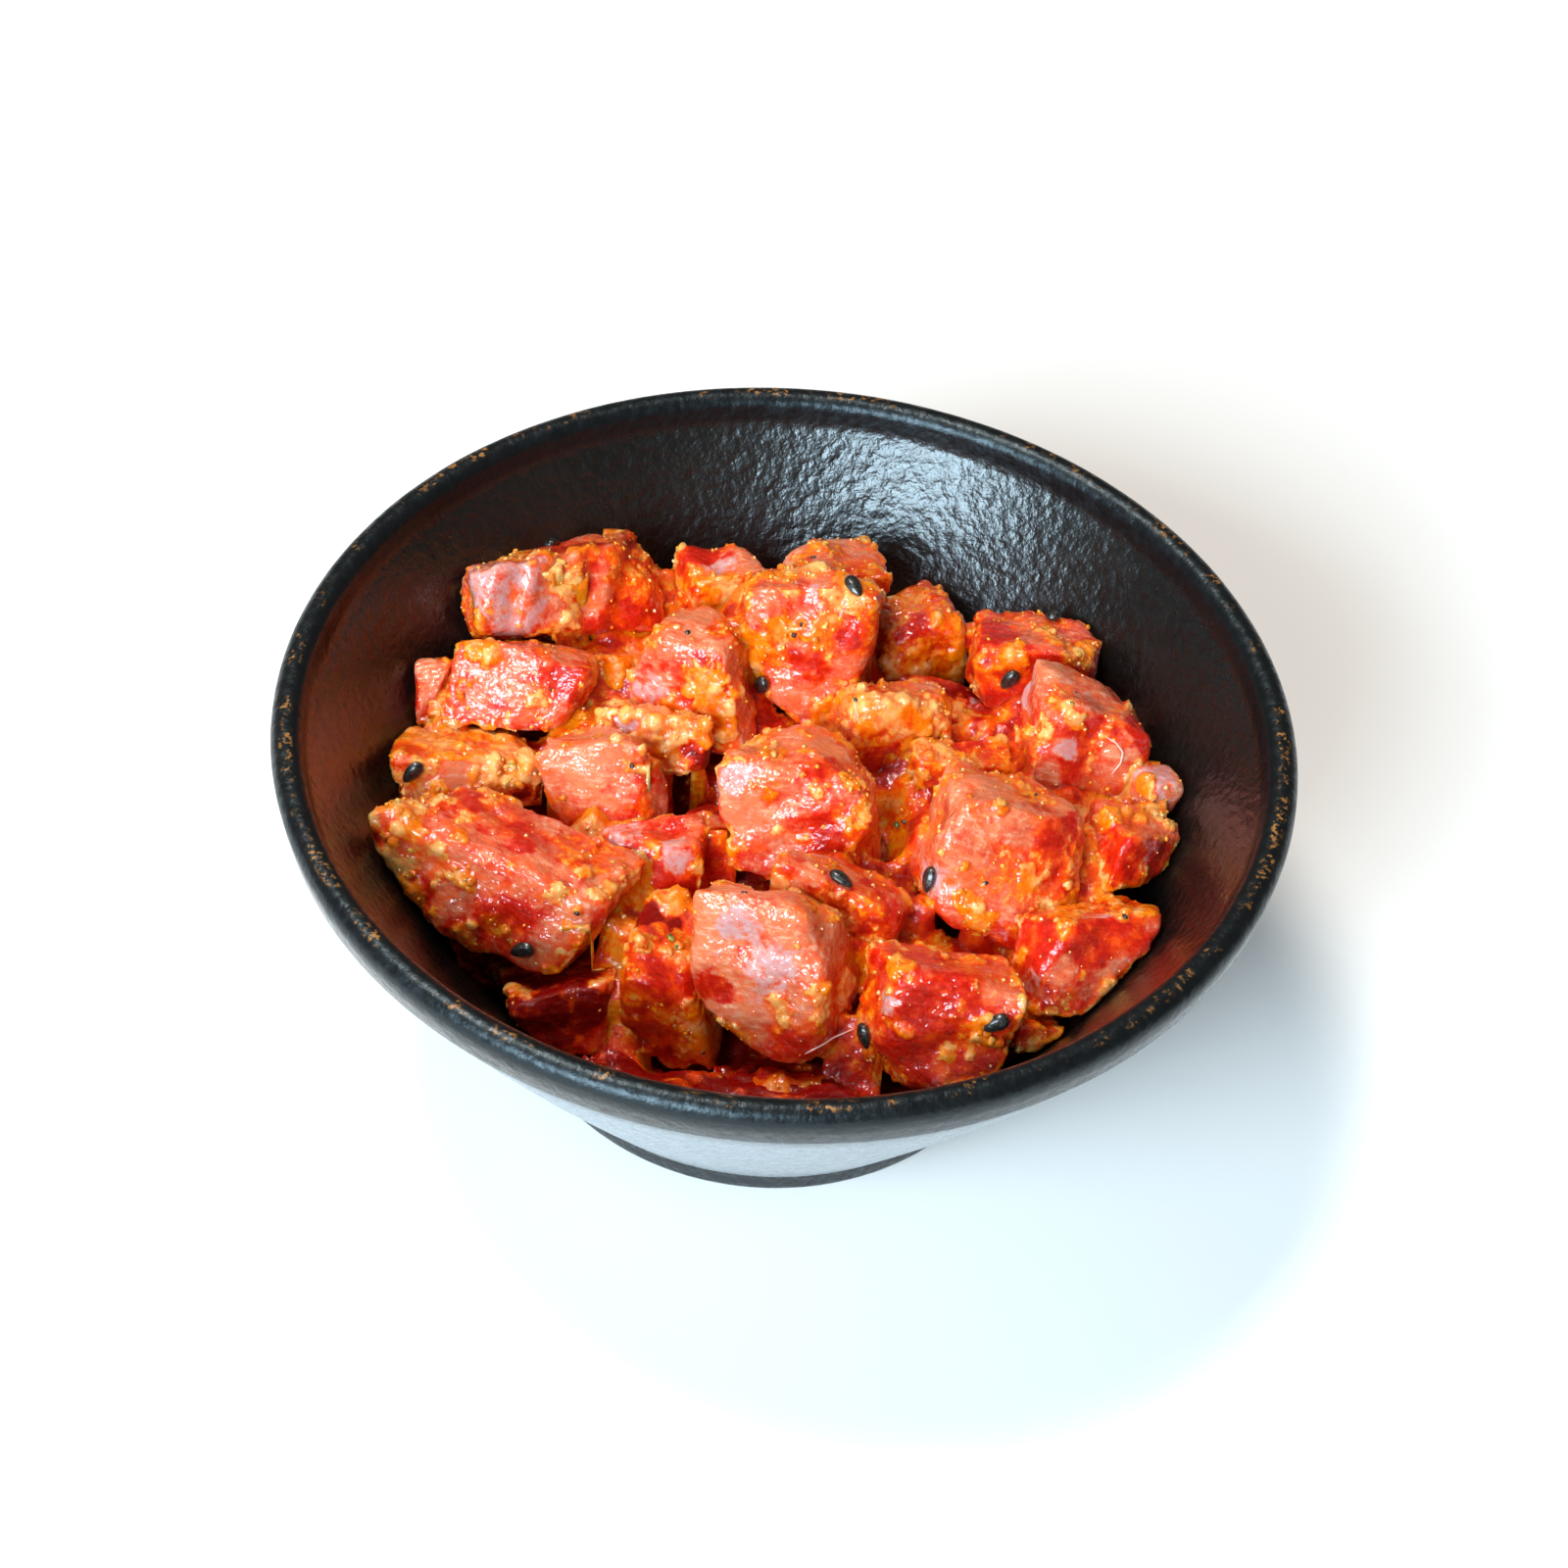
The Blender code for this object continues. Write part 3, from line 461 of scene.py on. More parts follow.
# The larger blobs of sauce on the blocks, each by its place in the photograph in pixels and its radius in
# millimetres.
BLOBS = (
    (405, 770, 0.9), (420, 747, 1.1), (440, 738, 1.0), (465, 742, 0.9), (490, 748, 1.1), (515, 755, 1.2),
    (535, 768, 1.0), (540, 785, 0.9), (520, 799, 1.1), (495, 803, 0.9), (470, 762, 1.2), (505, 777, 1.3),
    (452, 755, 0.8), (482, 790, 0.8), (615, 738, 0.9), (640, 731, 1.1), (668, 737, 1.2), (700, 731, 0.9),
    (720, 738, 1.0), (690, 753, 1.1), (655, 764, 0.9), (630, 752, 0.9), (735, 752, 0.9), (715, 692, 1.0),
    (731, 702, 0.9), (745, 692, 0.7), (702, 706, 0.8), (841, 733, 0.8), (825, 739, 0.7), (772, 680, 0.9),
    (762, 656, 0.7), (945, 746, 1.1), (965, 755, 0.9), (985, 747, 1.1), (1005, 742, 0.9), (1026, 749, 1.0),
    (1050, 746, 0.9), (905, 790, 1.0), (925, 808, 1.2), (940, 790, 0.9), (915, 828, 0.9), (950, 771, 0.8),
    (880, 702, 0.8), (1180, 826, 1.1), (1165, 836, 0.9), (1193, 841, 1.0), (1150, 827, 0.9),
    (1110, 907, 0.9), (1130, 917, 1.0), (1148, 931, 0.8), (1092, 903, 0.7), (471, 900, 0.8),
    (479, 906, 0.6), (441, 903, 0.5), (600, 891, 0.9), (571, 905, 0.9), (622, 905, 1.0), (590, 930, 0.7),
    (404, 845, 1.0), (416, 832, 0.9), (398, 860, 0.8), (480, 945, 0.7), (431, 817, 0.7), (750, 1050, 0.8),
    (815, 965, 0.5), (845, 1010, 0.8), (736, 1043, 0.6), (915, 977, 1.0), (940, 961, 0.9), (965, 977, 0.7),
    (905, 1010, 0.7), (990, 1078, 0.6), (1008, 1040, 0.7), (875, 762, 0.9), (880, 800, 0.8),
    (884, 834, 0.8), (864, 738, 0.7), (790, 760, 0.6), (845, 800, 0.4), (820, 790, 0.4), (1030, 668, 0.9),
    (1041, 657, 0.7), (1100, 665, 0.9), (1113, 661, 0.8), (1060, 642, 0.7), (530, 640, 0.6),
    (545, 655, 0.7), (500, 652, 0.7), (610, 655, 0.9), (632, 660, 1.0), (645, 690, 0.9), (985, 885, 0.7),
    (1000, 925, 0.8), (960, 870, 0.5), (1040, 800, 0.5), (1015, 790, 0.6),
)

# How high a blob is for its radius, how ragged it is and how far out its rags reach, how far off its place,
# in pixels, it may lie, how sharply it ends, and how creamy blobs are, spread evenly by the golden section.
BLOB_RISE = 0.42
BLOB_RAGGED = 1.7
BLOB_END = -2.0
BLOB_MISS = 6.0
BLOB_FADE = (0.0, 0.3)
BLOB_CREAM, BLOB_CREAM_SPAN = 0.1, 0.8
GOLDEN = 0.618
BLOB_SAUCE = 0.9
# How much a blob's height adds to that, for the same painted shade and highlight.
BLOB_SHADE = 0.8

# Each black sesame seed: the block that it sticks to, the way to it from the block's centre, and how
# steeply its long side stands, in degrees, seen from outside the block.
SEEDS = (
    ("tuna_left_pale", (-0.67, -0.59, 0.45), 60),
    ("tuna_left_long", (0.41, -0.89, -0.19), 41),
    ("tuna_middle_low", (-0.06, -0.09, 0.99), 17),
    ("tuna_right_large", (-0.81, -0.54, 0.25), 118),
    ("tuna_top", (0.47, -0.02, 0.88), 120),
    ("tuna_top", (-0.60, -0.76, -0.26), 75),
    ("tuna_front_red", (0.64, -0.51, 0.57), 45),
    ("tuna_front_red", (-0.88, -0.47, 0.10), 127),
    ("tuna_back_far_right", (-0.46, -0.80, 0.40), 70),
    ("tuna_back_far_right", (0.30, 0.70, 0.60), 50),
    ("tuna_back_left", (-0.20, 0.62, 0.76), 20),
)
SEED_LENGTH, SEED_WIDTH, SEED_THICKNESS = 3.2, 1.9, 1.3
SEED_TAPER = 0.25
SEED_LIFT = 0.3
SEED_PROBE = 0.05
SEED_ASIDE = (0.3, 1.0, 0.2)
SEED_UPRIGHT = (0.2, 0.1, 1.0)
SEED_RIDGE, SEED_RIDGES = 0.04, 6
SEED_SIDES, SEED_RINGS = 28, 22

# The bed under the blocks, as its solid.
BED_LEVEL = 26.0
BED_LEAST_HEIGHT = 12.0
BED_CLEARANCE = 0.6
BED_LOOK_AROUND = 5.0
BED_WAVE_HEIGHT = 0.8
BED_WAVE_LENGTH = 10.0
BED_SEED = 101
SPOTS_AT_ONCE = 800
BED_WALL_CROWDING = 1.8
BED_EDGE_ROUNDS = 6
BED_SPOKES = 300
BED_TOP_RINGS = 100
BED_WALL_RINGS = 12
BED_RELIEF, BED_ROUGH = 0.9, 0.5
BED_FADE = (1.0, 0.93)
# The bed's cover: its paleness below 0 is painted shade in deep red, under a little sauce and cream.
BED_COVER_IN_SHADE = (-0.5, 0.0, 0.05, 0.1)
BED_SAUCE = 1.2

# The camera: it looks down on the middle of the rim, which lies a little above the middle of the picture.
PICTURE = 1600
SENSOR = 36.0
FOCAL_PIXELS = 3927.0
CAMERA_DISTANCE = 450.0
CAMERA_ELEVATION = math.radians(45.26)
CAMERA_ROLL = math.radians(4.44)
AIM_HEIGHT = 48.8
AIM_PIXEL = (803.1, 737.8)
CLIP_START = 0.01
OUT_OF_PICTURE = 3 * PICTURE

# The lights: the way to each, how far off it is, how wide and high it is, its radiance and its colour. They
# all face a point a little above the floor. Then the floor and the sky.
LIGHTS = {
    "window": ((-0.42, -0.76, 0.52), 1.1, 0.64, 0.56, 23.5, (0.72, 0.89, 1.0)),
    "overhead": ((-0.28, 0.18, 0.94), 1.3, 0.40, 0.34, 30.5, (1.0, 0.96, 0.90)),
}
LIT_HEIGHT = 0.04
FLOOR_HALF = 4
FLOOR_COLOUR = (0.92, 0.90, 0.88)
FLOOR_ROUGHNESS = 0.7
SKY_COLOUR = (1.0, 0.94, 0.88, 1.0)
SKY_STRENGTH = 0.12

# Linear colours.
# Deep red: partly the flesh's own darkest tone, partly painted shade where the paleness falls below 0: in the
# marked gaps, where blocks meet, deep in the sauce between them and on the bed.
DEEP_RED_AND_SHADE = (0.22, 0.002, 0.001)
FLESH_RED = (0.62, 0.011, 0.001)
FLESH_PINK = (0.73, 0.185, 0.076)
FIBRE_PALE = (0.77, 0.42, 0.27)
# Pale mauve: partly the film on the flesh, partly a painted sheen.
FILM_AND_SHEEN = (0.56, 0.33, 0.34)
STAIN = (0.84, 0.075, 0.001)
# Redder orange in the hollows between lumps of sauce: painted shade.
HOLLOW_SHADE_RED = (0.80, 0.095, 0.001)
SAUCE_ORANGE = (0.82, 0.175, 0.001)
SAUCE_YELLOW = (0.84, 0.31, 0.008)
SAUCE_CREAM = (0.84, 0.38, 0.12)
# Paler on the tops of blobs and lumps: painted highlight.
TOP_HIGHLIGHT_PALE = (0.82, 0.47, 0.17)
HERB_GREEN = (0.05, 0.08, 0.008)
HULL_YELLOW = (0.42, 0.34, 0.05)
GLAZE_BLACK = (0.0040, 0.0032, 0.0026)
GLAZE_BROWN = (0.0075, 0.0050, 0.0034)
GLAZE_LIP = (0.0035, 0.0036, 0.0038)
GLAZE_PIT = (0.040, 0.050, 0.060)
# Pale blue-grey on the outer wall: a painted reflection of the pale floor.
PAINTED_OUTSIDE_REFLECTION = (0.175, 0.205, 0.230)
WORN_COPPER = (0.30, 0.125, 0.03)
SEED_BLACK = (0.004, 0.004, 0.004)
SEED_BROWN = (0.022, 0.019, 0.016)

# The materials' noises: how fine each is, per metre (the strands' per millimetre), its detail and its
# roughness.
GRAININESS = {
    "fine": (1250.0, 3.0, 0.65), "middle": (420.0, 3.0, 0.6), "strand": (1.5, 3.0, 0.65),
    "ripple": (1300.0, 1.0, 0.5), "herb": (900.0, 2.0, 0.5), "broad": (60.0, 3.0, 0.6),
    "peel": (700.0, 3.0, 0.55), "worn_speck": (1300.0, 2.0, 0.6), "worn_patch": (170.0, 3.0, 0.7),
    "hull": (2600.0, 3.0, 0.6),
}
PITS_PER_METRE = 620.0
STRAND_STRETCH = (0.14, 1.0, 1.0)

# Where each look sets in and where it is full, and, unless it goes from 0 to 1, its values there. The lip's
# and the worn line's are heights and radii in metres.
LOOKS = {
    "red": (-0.5, 0.35), "pink": (0.15, 0.9), "strand": (0.50, 0.72),
    "strand_on_pale": (0.15, 0.9, 0.03, 0.7), "fleck": (0.54, 0.70),
    "fleck_on_pale": (0.15, 0.8, 0.02, 0.55), "film_and_sheen": (0.35, 1.25, 0.0, 0.8),
    "stain": (0.05, 0.5, 0.0, 0.8), "cream": (0.15, 0.9), "yellow": (0.50, 0.70, 0.0, 0.7),
    "hollow_shade": (0.0, 0.32, 0.65, 0.0), "grain": (0.45, 0.9, 0.0, 0.7), "sauce": (0.44, 0.72),
    "wet": (-0.5, 0.1, 0.2, 1.0), "herb": (0.4, 0.6), "hull": (0.3, 0.7),
    "hull_roughness": (0.3, 0.7, 0.2, 0.4), "brown": (0.35, 0.7), "pit": (0.16, 0.36),
    "peel_roughness": (0.3, 0.7, 0.25, 0.38), "lip": (0.0460, 0.0478), "lip_coat": (0.0, 1.0, 0.65, 0.0),
    "lip_bump": (0.0, 1.0, 0.55, 0.35), "worn_inside": (0.0573, 0.0578), "worn_outside": (0.0592, 0.0586),
    "worn_height": (0.0478, 0.0484), "worn_speck": (0.50, 0.62), "worn_patch": (0.48, 0.62),
}

# How far the middle and the fine noise shift each of these on the tuna.
SHIFTS = {
    "tone": (0.8, 0.9), "veil": (1.6, 2.0), "stain": (1.6, 0.0), "cream": (2.0, 0.8), "sauce": (1.1, 1.3),
}
LUMP_SAUCE = 0.25

# How high each noise stands in a bump, and how much rougher the lip is.
FINE_BUMP, STRAND_BUMP = 0.5, 0.25
PEEL_BUMP, PIT_BUMP = 0.8, 0.15
LIP_DULLNESS = 0.06


def unit(vectors):
    """Each vector at length 1."""
    return vectors / np.linalg.norm(vectors, axis=-1, keepdims=True)


def smooth_step(low, high, value):
    """0 at low, 1 at high and beyond, and 3 t squared minus 2 t cubed between them."""
    t = np.clip((value - low) / (high - low), 0, 1)
    return t * t * (3 - 2 * t)


def cell_number(cells, seed):
    """A number from 0 to 1 for each whole-number cell, by multiplying and folding its three numbers."""
    mixed = seed * SEED_MIX
    for axis, factor in enumerate(CELL_MIX):
        mixed = mixed ^ cells[..., axis] * factor
    for shift, factor in FOLDS:
        mixed = (mixed ^ (mixed >> shift)) * factor & BITS_32
    return ((mixed ^ (mixed >> LAST_FOLD)) & BITS_24) / BITS_24


def smooth_noise(points, size, seed):
    """Noise from 0 to 1: a number at each corner of a grid of a size, blended smoothly between the
    corners."""
    scaled = points / size
    low = np.floor(scaled).astype(np.int64)
    part = scaled - low
    part = part**3 * (part * (part * 6 - 15) + 10)
    total = 0
    for corner in np.ndindex(2, 2, 2):
        weight = np.prod(np.where(np.array(corner) == 1, part, 1 - part), axis=-1)
        total = total + weight * cell_number(low + np.array(corner), seed)
    return total


def noise(kind, points, seed=0):
    """A kind of noise from -0.5 to 0.5: layers of smooth noise, each half as large and half as strong as
    the one before, and turned from it, so that no grid shows."""
    size, own_seed, layers = NOISES[kind]
    askew = turn_matrix(NOISE_TURN).T
    total = 0
    for layer in range(layers):
        points = points @ askew
        total = total + smooth_noise(points, size / 2**layer, seed + own_seed + LAYER_STEP * layer) / 2**layer
    return total / (2 - 2 ** (1 - layers)) - 0.5


def domes(kind, points, seed=0):
    """Rounded grains of a kind: 1 at the middle of the nearest of some scattered points, falling to 0 at a
    grain's edge, and the grain's own number from 0 to 1."""
    size, own_seed = DOMES[kind]
    seed = seed + own_seed
    scaled = points / size
    low = np.floor(scaled).astype(np.int64)
    nearest = np.full(len(points), np.inf)
    own = np.zeros(len(points))
    for step in np.ndindex(3, 3, 3):
        cell = low + np.array(step) - 1
        middle = cell + np.stack([cell_number(cell, seed + axis) for axis in range(3)], axis=-1)
        distance = ((scaled - middle) ** 2).sum(axis=-1)
        own = np.where(distance < nearest, cell_number(cell, seed + DOME_OWN_STEP), own)
        nearest = np.minimum(nearest, distance)
    return np.clip(1 - nearest / DOME_END, 0, 1), own


def wall_radius(height):
    """The outer wall's radius at a height: a straight flare with a slight bulge halfway up."""
    share = (height - FOOT_HEIGHT) / (SHOULDER_HEIGHT - FOOT_HEIGHT)
    flare = BODY_BASE_RADIUS + (SHOULDER_RADIUS - BODY_BASE_RADIUS) * share
    return flare + WALL_BULGE * np.sin(math.pi * np.clip(share, 0, 1))


def fillet_centre():
    """The radius at which the floor ends and the fillet between it and the inner wall begins."""
    return float(wall_radius(FLOOR_HEIGHT)) - WALL_ACROSS - FLOOR_FILLET * math.tan(FILLET_TURN / 2)


def inner_radius(height, inset=0.0):
    """The radius of the inner wall at a height, or of a wall that lies inset from it: the outer wall less
    its thickness, rounded into the floor by an arc."""
    squared = (FLOOR_FILLET - inset) ** 2 - (FILLET_HEIGHT - height) ** 2
    arc = fillet_centre() + np.sqrt(np.clip(squared, 0, None))
    wall = wall_radius(height) - WALL_ACROSS - inset / math.cos(WALL_SLOPE)
    arc_top = FILLET_HEIGHT - (FLOOR_FILLET - inset) * math.cos(FILLET_TURN)
    return np.where(height < arc_top, np.minimum(arc, wall), wall)


def arc(centre, radius, start, end, steps):
    """Points of an arc between two angles in degrees: centre + radius times (cosine, sine)."""
    angle = np.radians(np.linspace(start, end, steps + 1))
    return np.column_stack([centre[0] + radius * np.cos(angle), centre[1] + radius * np.sin(angle)])


def turn_matrix(turn):
    """Turns about X, then Y, then Z, in degrees."""
    x, y, z = (math.radians(angle) for angle in turn)
    return np.array(Matrix.Rotation(z, 3, "Z") @ Matrix.Rotation(y, 3, "Y") @ Matrix.Rotation(x, 3, "X"))


def draw_waves(rng, length):
    """Wave vectors and phases of a sum of sines whose wavelengths lie around a length."""
    ways = unit(rng.normal(size=(WAVES, 3)))
    lengths = length * rng.uniform(*WAVE_SPREAD, WAVES)
    return ways * (2 * math.pi / lengths)[:, None], rng.uniform(0, 2 * math.pi, WAVES)


def wave_height(waves, points):
    """The sum of the sines at some points, about 1 high."""
    vectors, phases = waves
    return np.sin(points @ vectors.T + phases).sum(axis=1) / math.sqrt(WAVES / 2)


def box_grid(counts):
    """The points of a grid on the six sides of a cube from -1 to 1, with so many steps along each axis, and
    its quads, which share the points on the cube's edges."""
    places, quads = [], []
    for axis in range(3):
        down, across = (axis + 1) % 3, (axis + 2) % 3
        row, column = np.meshgrid(np.arange(counts[down]), np.arange(counts[across]), indexing="ij")
        for face in (0, 1):
            corners = np.empty((row.size, 4, 3), int)
            corners[:, :, axis] = face * counts[axis]
            corners[:, :, down] = row.reshape(-1, 1) + np.array([0, 1, 1, 0])
            corners[:, :, across] = column.reshape(-1, 1) + np.array([0, 0, 1, 1])
            places.append(corners if face else corners[:, ::-1])
    corners = np.concatenate(places)
    span = np.array(counts) + 1
    code = (corners[..., 0] * span[1] + corners[..., 1]) * span[2] + corners[..., 2]
    unique, quads = np.unique(code, return_inverse=True)
    lattice = np.column_stack([unique // (span[1] * span[2]), unique // span[2] % span[1], unique % span[2]])
    return lattice / np.array(counts) * 2 - 1, quads.reshape(code.shape)


def point_normals(points, quads):
    """The normal at each point: the sum of its quads' normals, which are the cross products of their
    diagonals."""
    corners = points[quads]
    face = np.cross(corners[:, 2] - corners[:, 0], corners[:, 3] - corners[:, 1])
    total = np.zeros_like(points)
    for corner in range(quads.shape[1]):
        np.add.at(total, quads[:, corner], face)
    return unit(total)


class Block:
    """A block of tuna: along each way from its centre its surface lies at one distance, at which the
    block's own cuts, the planes that part it from other blocks and the bowl's wall meet smoothly."""

    def __init__(self, number, name, centre, size, turn, sauce, pale):
        rng = np.random.RandomState(number)
        self.number = number
        self.centre = np.array(centre, float)
        self.size = np.array(size, float)
        self.turn = turn_matrix(turn)
        self.sauce = sauce
        self.pale = pale
        square = np.vstack([np.eye(3), -np.eye(3)])
        faces = unit(square + CUT_TILT * rng.uniform(-1, 1, (6, 3)))
        face_depths = np.tile(self.size, 2) / 2 * (1 + CUT_SHIFT * rng.uniform(-1, 1, 6))
        corners = rng.choice([-1, 1], (CORNER_CUTS, 3)) * self.size / 2
        corner_depths = np.linalg.norm(corners, axis=1) * rng.uniform(*CORNER_SHARES, CORNER_CUTS)
        shaved = np.array([way for way, _ in SHAVED.get(name, ())]).reshape(-1, 3)
        self.cuts = np.vstack([np.vstack([faces, unit(corners)]) @ self.turn.T, unit(shaved)])
        shaved_depths = [depth for _, depth in SHAVED.get(name, ())]
        self.depths = np.concatenate([face_depths, corner_depths, shaved_depths])
        self.waves = draw_waves(rng, WAVE_LENGTH)
        self.parting = []
        grid = LONG_GRID if max(size) > LONG_BLOCK else SHORT_GRID
        self.coarse = self.directions((grid, grid, grid))[0]
        self.own_points = self.coarse * self.own_reach(self.coarse)[:, None]

    def directions(self, counts):
        """Ways from the centre to the points of a grid on the block's box, and the grid's quads."""
        points, quads = box_grid(counts)
        return unit(points * self.size @ self.turn.T), quads

    def own_reach(self, directions):
        """How far the block's own surface lies along each way, before anything presses on it."""
        nearness = np.clip(directions @ self.cuts.T / self.depths, 0, None)
        smooth = (nearness**EDGE_POWER).sum(axis=1) ** (-1 / EDGE_POWER)
        return smooth * (1 + WAVE_DEPTH * wave_height(self.waves, directions * smooth[:, None]))

    def wall_reach(self, directions):
        """How far each way goes before it meets the bowl's wall or floor, by halving the distance."""
        near = np.zeros(len(directions))
        far = np.full(len(directions), FARTHEST)
        for _ in range(HALVINGS):
            middle = (near + far) / 2
            point = self.centre + directions * middle[:, None]
            inside = np.hypot(point[:, 0], point[:, 1]) < inner_radius(point[:, 2], GAP)
            clear = inside & (point[:, 2] > FLOOR_HEIGHT + GAP)
            near = np.where(clear, middle, near)
            far = np.where(clear, far, middle)
        return np.maximum(near, LEAST_REACH)

    def surface(self, directions):
        """Points on the smooth surface, measured from the block's centre, and how freely each lies, from 0
        where something presses on it to 1."""
        own = self.own_reach(directions) ** -EDGE_POWER
        nearness = own + self.wall_reach(directions) ** -EDGE_POWER
        for normal, depth in self.parting:
            nearness = nearness + np.clip(directions @ normal / depth, 0, None) ** EDGE_POWER
        return directions * (nearness ** (-1 / EDGE_POWER))[:, None], own / nearness


def part_blocks(first, second):
    """Part two blocks by the plane along which they overlap least, if they touch."""
    between = second.centre - first.centre
    distance = np.linalg.norm(between)
    if distance > (np.linalg.norm(first.size) + np.linalg.norm(second.size)) / 2 + TOUCH_MARGIN:
        return
    best = None
    for normal in np.vstack([between / distance, first.cuts, second.cuts, -first.cuts, -second.cuts]):
        if normal @ between <= LEAST_ALIGNED * distance:
            continue
        reaches = (first.own_points @ normal).max(), (second.own_points @ -normal).max()
        overlap = sum(reaches) - normal @ between
        if best is None or overlap < best[0]:
            best = overlap, normal, reaches
    overlap, normal, reaches = best
    if overlap < -GAP:
        return
    share = 0.5 + SHARE_LEAN * math.tanh((first.centre[2] - second.centre[2]) / SHARE_SPAN)
    first.parting.append((normal, reaches[0] - (overlap + GAP) * (1 - share)))
    second.parting.append((-normal, reaches[1] - (overlap + GAP) * share))


def make_blocks():
    """All the blocks of tuna by name, each parted from the others."""
    blocks = {name: Block(number, name, *row) for number, (name, row) in enumerate(TUNA.items())}
    row = list(blocks.values())
    for number, first in enumerate(row):
        for second in row[number + 1:]:
            part_blocks(first, second)
    return blocks


def camera_axes():
    """The camera's place, and its right, up and forward directions, as it looks at the rim's middle."""
    forward = np.array([0, math.cos(CAMERA_ELEVATION), -math.sin(CAMERA_ELEVATION)])
    level_up = np.array([0, math.sin(CAMERA_ELEVATION), math.cos(CAMERA_ELEVATION)])
    right = np.array([math.cos(CAMERA_ROLL), 0, 0]) + math.sin(CAMERA_ROLL) * level_up
    up = np.array([-math.sin(CAMERA_ROLL), 0, 0]) + math.cos(CAMERA_ROLL) * level_up
    place = np.array([0, 0, AIM_HEIGHT]) - CAMERA_DISTANCE * forward
    return place, right, up, forward


def picture_place(points):
    """Where points show in the photograph, across and down in pixels, and how far off they are."""
    place, right, up, forward = camera_axes()
    offset = points - place
    away = offset @ forward
    across = AIM_PIXEL[0] + FOCAL_PIXELS * (offset @ right) / away
    down = AIM_PIXEL[1] - FOCAL_PIXELS * (offset @ up) / away
    return across, down, away


def faces_camera(points, normals):
    """Whether the skin at each point is turned towards the camera."""
    return (normals * (camera_axes()[0] - points)).sum(axis=1) > 0


def shown_place(points, normals):
    """Where points show in the photograph, or a place outside it for those that are turned away."""
    across, down, _ = picture_place(points)
    return np.where(faces_camera(points, normals), across, OUT_OF_PICTURE), down


def cover(name, block, local, points, normals, free):
    """What covers a block at each point, as an array of how pale the flesh is, how much film_and_sheen and
    sauce
    lie on it and how creamy the sauce is: first by noise, with more sauce along edges and where blocks meet,
    paler flesh on faces that lean up, which is painted light, and darker flesh where blocks meet, which is
    painted shade; then the marks, each of which fades out to its reach in a ragged way."""
    seed = BLOCK_STEP * block.number
    one = np.ones(len(points))
    edge = 1 - smooth_step(*EDGE_FACING, (normals @ block.cuts[:6].T).max(axis=1))
    meeting = 1 - smooth_step(*MEETING_FREE, free)
    mixed = {}
    # The paleness that the lean to the sky adds is painted light; what it loses where blocks meet is painted
    # shade.
    for kind, share in (("pale", block.pale), ("sauce", block.sauce), ("cream", 0.0)):
        parts = np.stack([one, noise(kind, local, seed), share * one, edge, meeting, normals[:, 2]])
        mixed[kind] = np.array(COVER_MIX[kind]) @ parts
    film_and_sheen = FILM_MOST * smooth_step(*FILM_NOISE, noise("film_and_sheen", local, seed))
    covers = np.clip(np.column_stack([mixed["pale"], film_and_sheen, mixed["sauce"], mixed["cream"]]), 0, 1)
    across, down = shown_place(points, normals)
    ragged = MARK_RAGGED * noise("mark", local, seed)
    for kind, mark_across, mark_down, reach in MARKS.get(name, ()):
        nearest = np.argmin(np.hypot(across - mark_across, down - mark_down))
        near = 1 - np.linalg.norm(points - points[nearest], axis=1) / reach
        weight = smooth_step(*MARK_FADE, near + ragged * (near > MARK_END))[:, None]
        covers = covers * (1 - weight) + np.array(KINDS[kind]) * weight
    return covers, edge


def relief(seed, local, covers, free, edge, rise):
    """How far the skin stands out at each point: dents, ragged edges, fibres and pores in the flesh, and on
    it a coat of sauce with blobs, lumps and grains. Where a block is pressed, hardly anything stands out.
    Also how high a lump is there, from 0 to 1."""
    sauce = covers[:, 2] + SAUCE_EDGE_SHIFT * noise("sauce_edge", local, seed)
    thick = smooth_step(SAUCE_FROM, SAUCE_FULL, sauce)
    fibres = noise("fibre", local * np.array(FIBRE_STRETCH), seed)
    blobs, lumps = (np.prod(domes(kind, local, seed), axis=0) for kind in ("blob", "lump"))
    grains, grain_own = domes("grain", local, seed)
    grains = grains * smooth_step(*GRAIN_OWN, grain_own)
    rags = RAGGED_ON_FACE + RAGGED_ON_EDGE * edge + thick
    height = DENT_HEIGHT * noise("dent", local, seed) + RAGGED_HEIGHT * rags * noise("ragged", local, seed)
    height += (1 - SAUCE_HIDES * thick) * (FIBRE_HEIGHT * fibres + PORE_HEIGHT * noise("pore", local, seed))
    height += thick * (SAUCE_HEIGHT + rise * (BLOB_HEIGHT * blobs + LUMP_HEIGHT * lumps))
    height += (GRAINS_ON_FLESH + (1 - GRAINS_ON_FLESH) * thick) * GRAIN_HEIGHT * grains - INWARD
    freedom = smooth_step(*PRESSED_FREE, free)
    height = np.where(height > 0, np.maximum(height * freedom, np.minimum(height, PRESSED_HEIGHT)), height)
    return height, np.clip(np.array(LUMP_SHADES) @ np.stack([blobs, lumps, grains]), 0, 1)


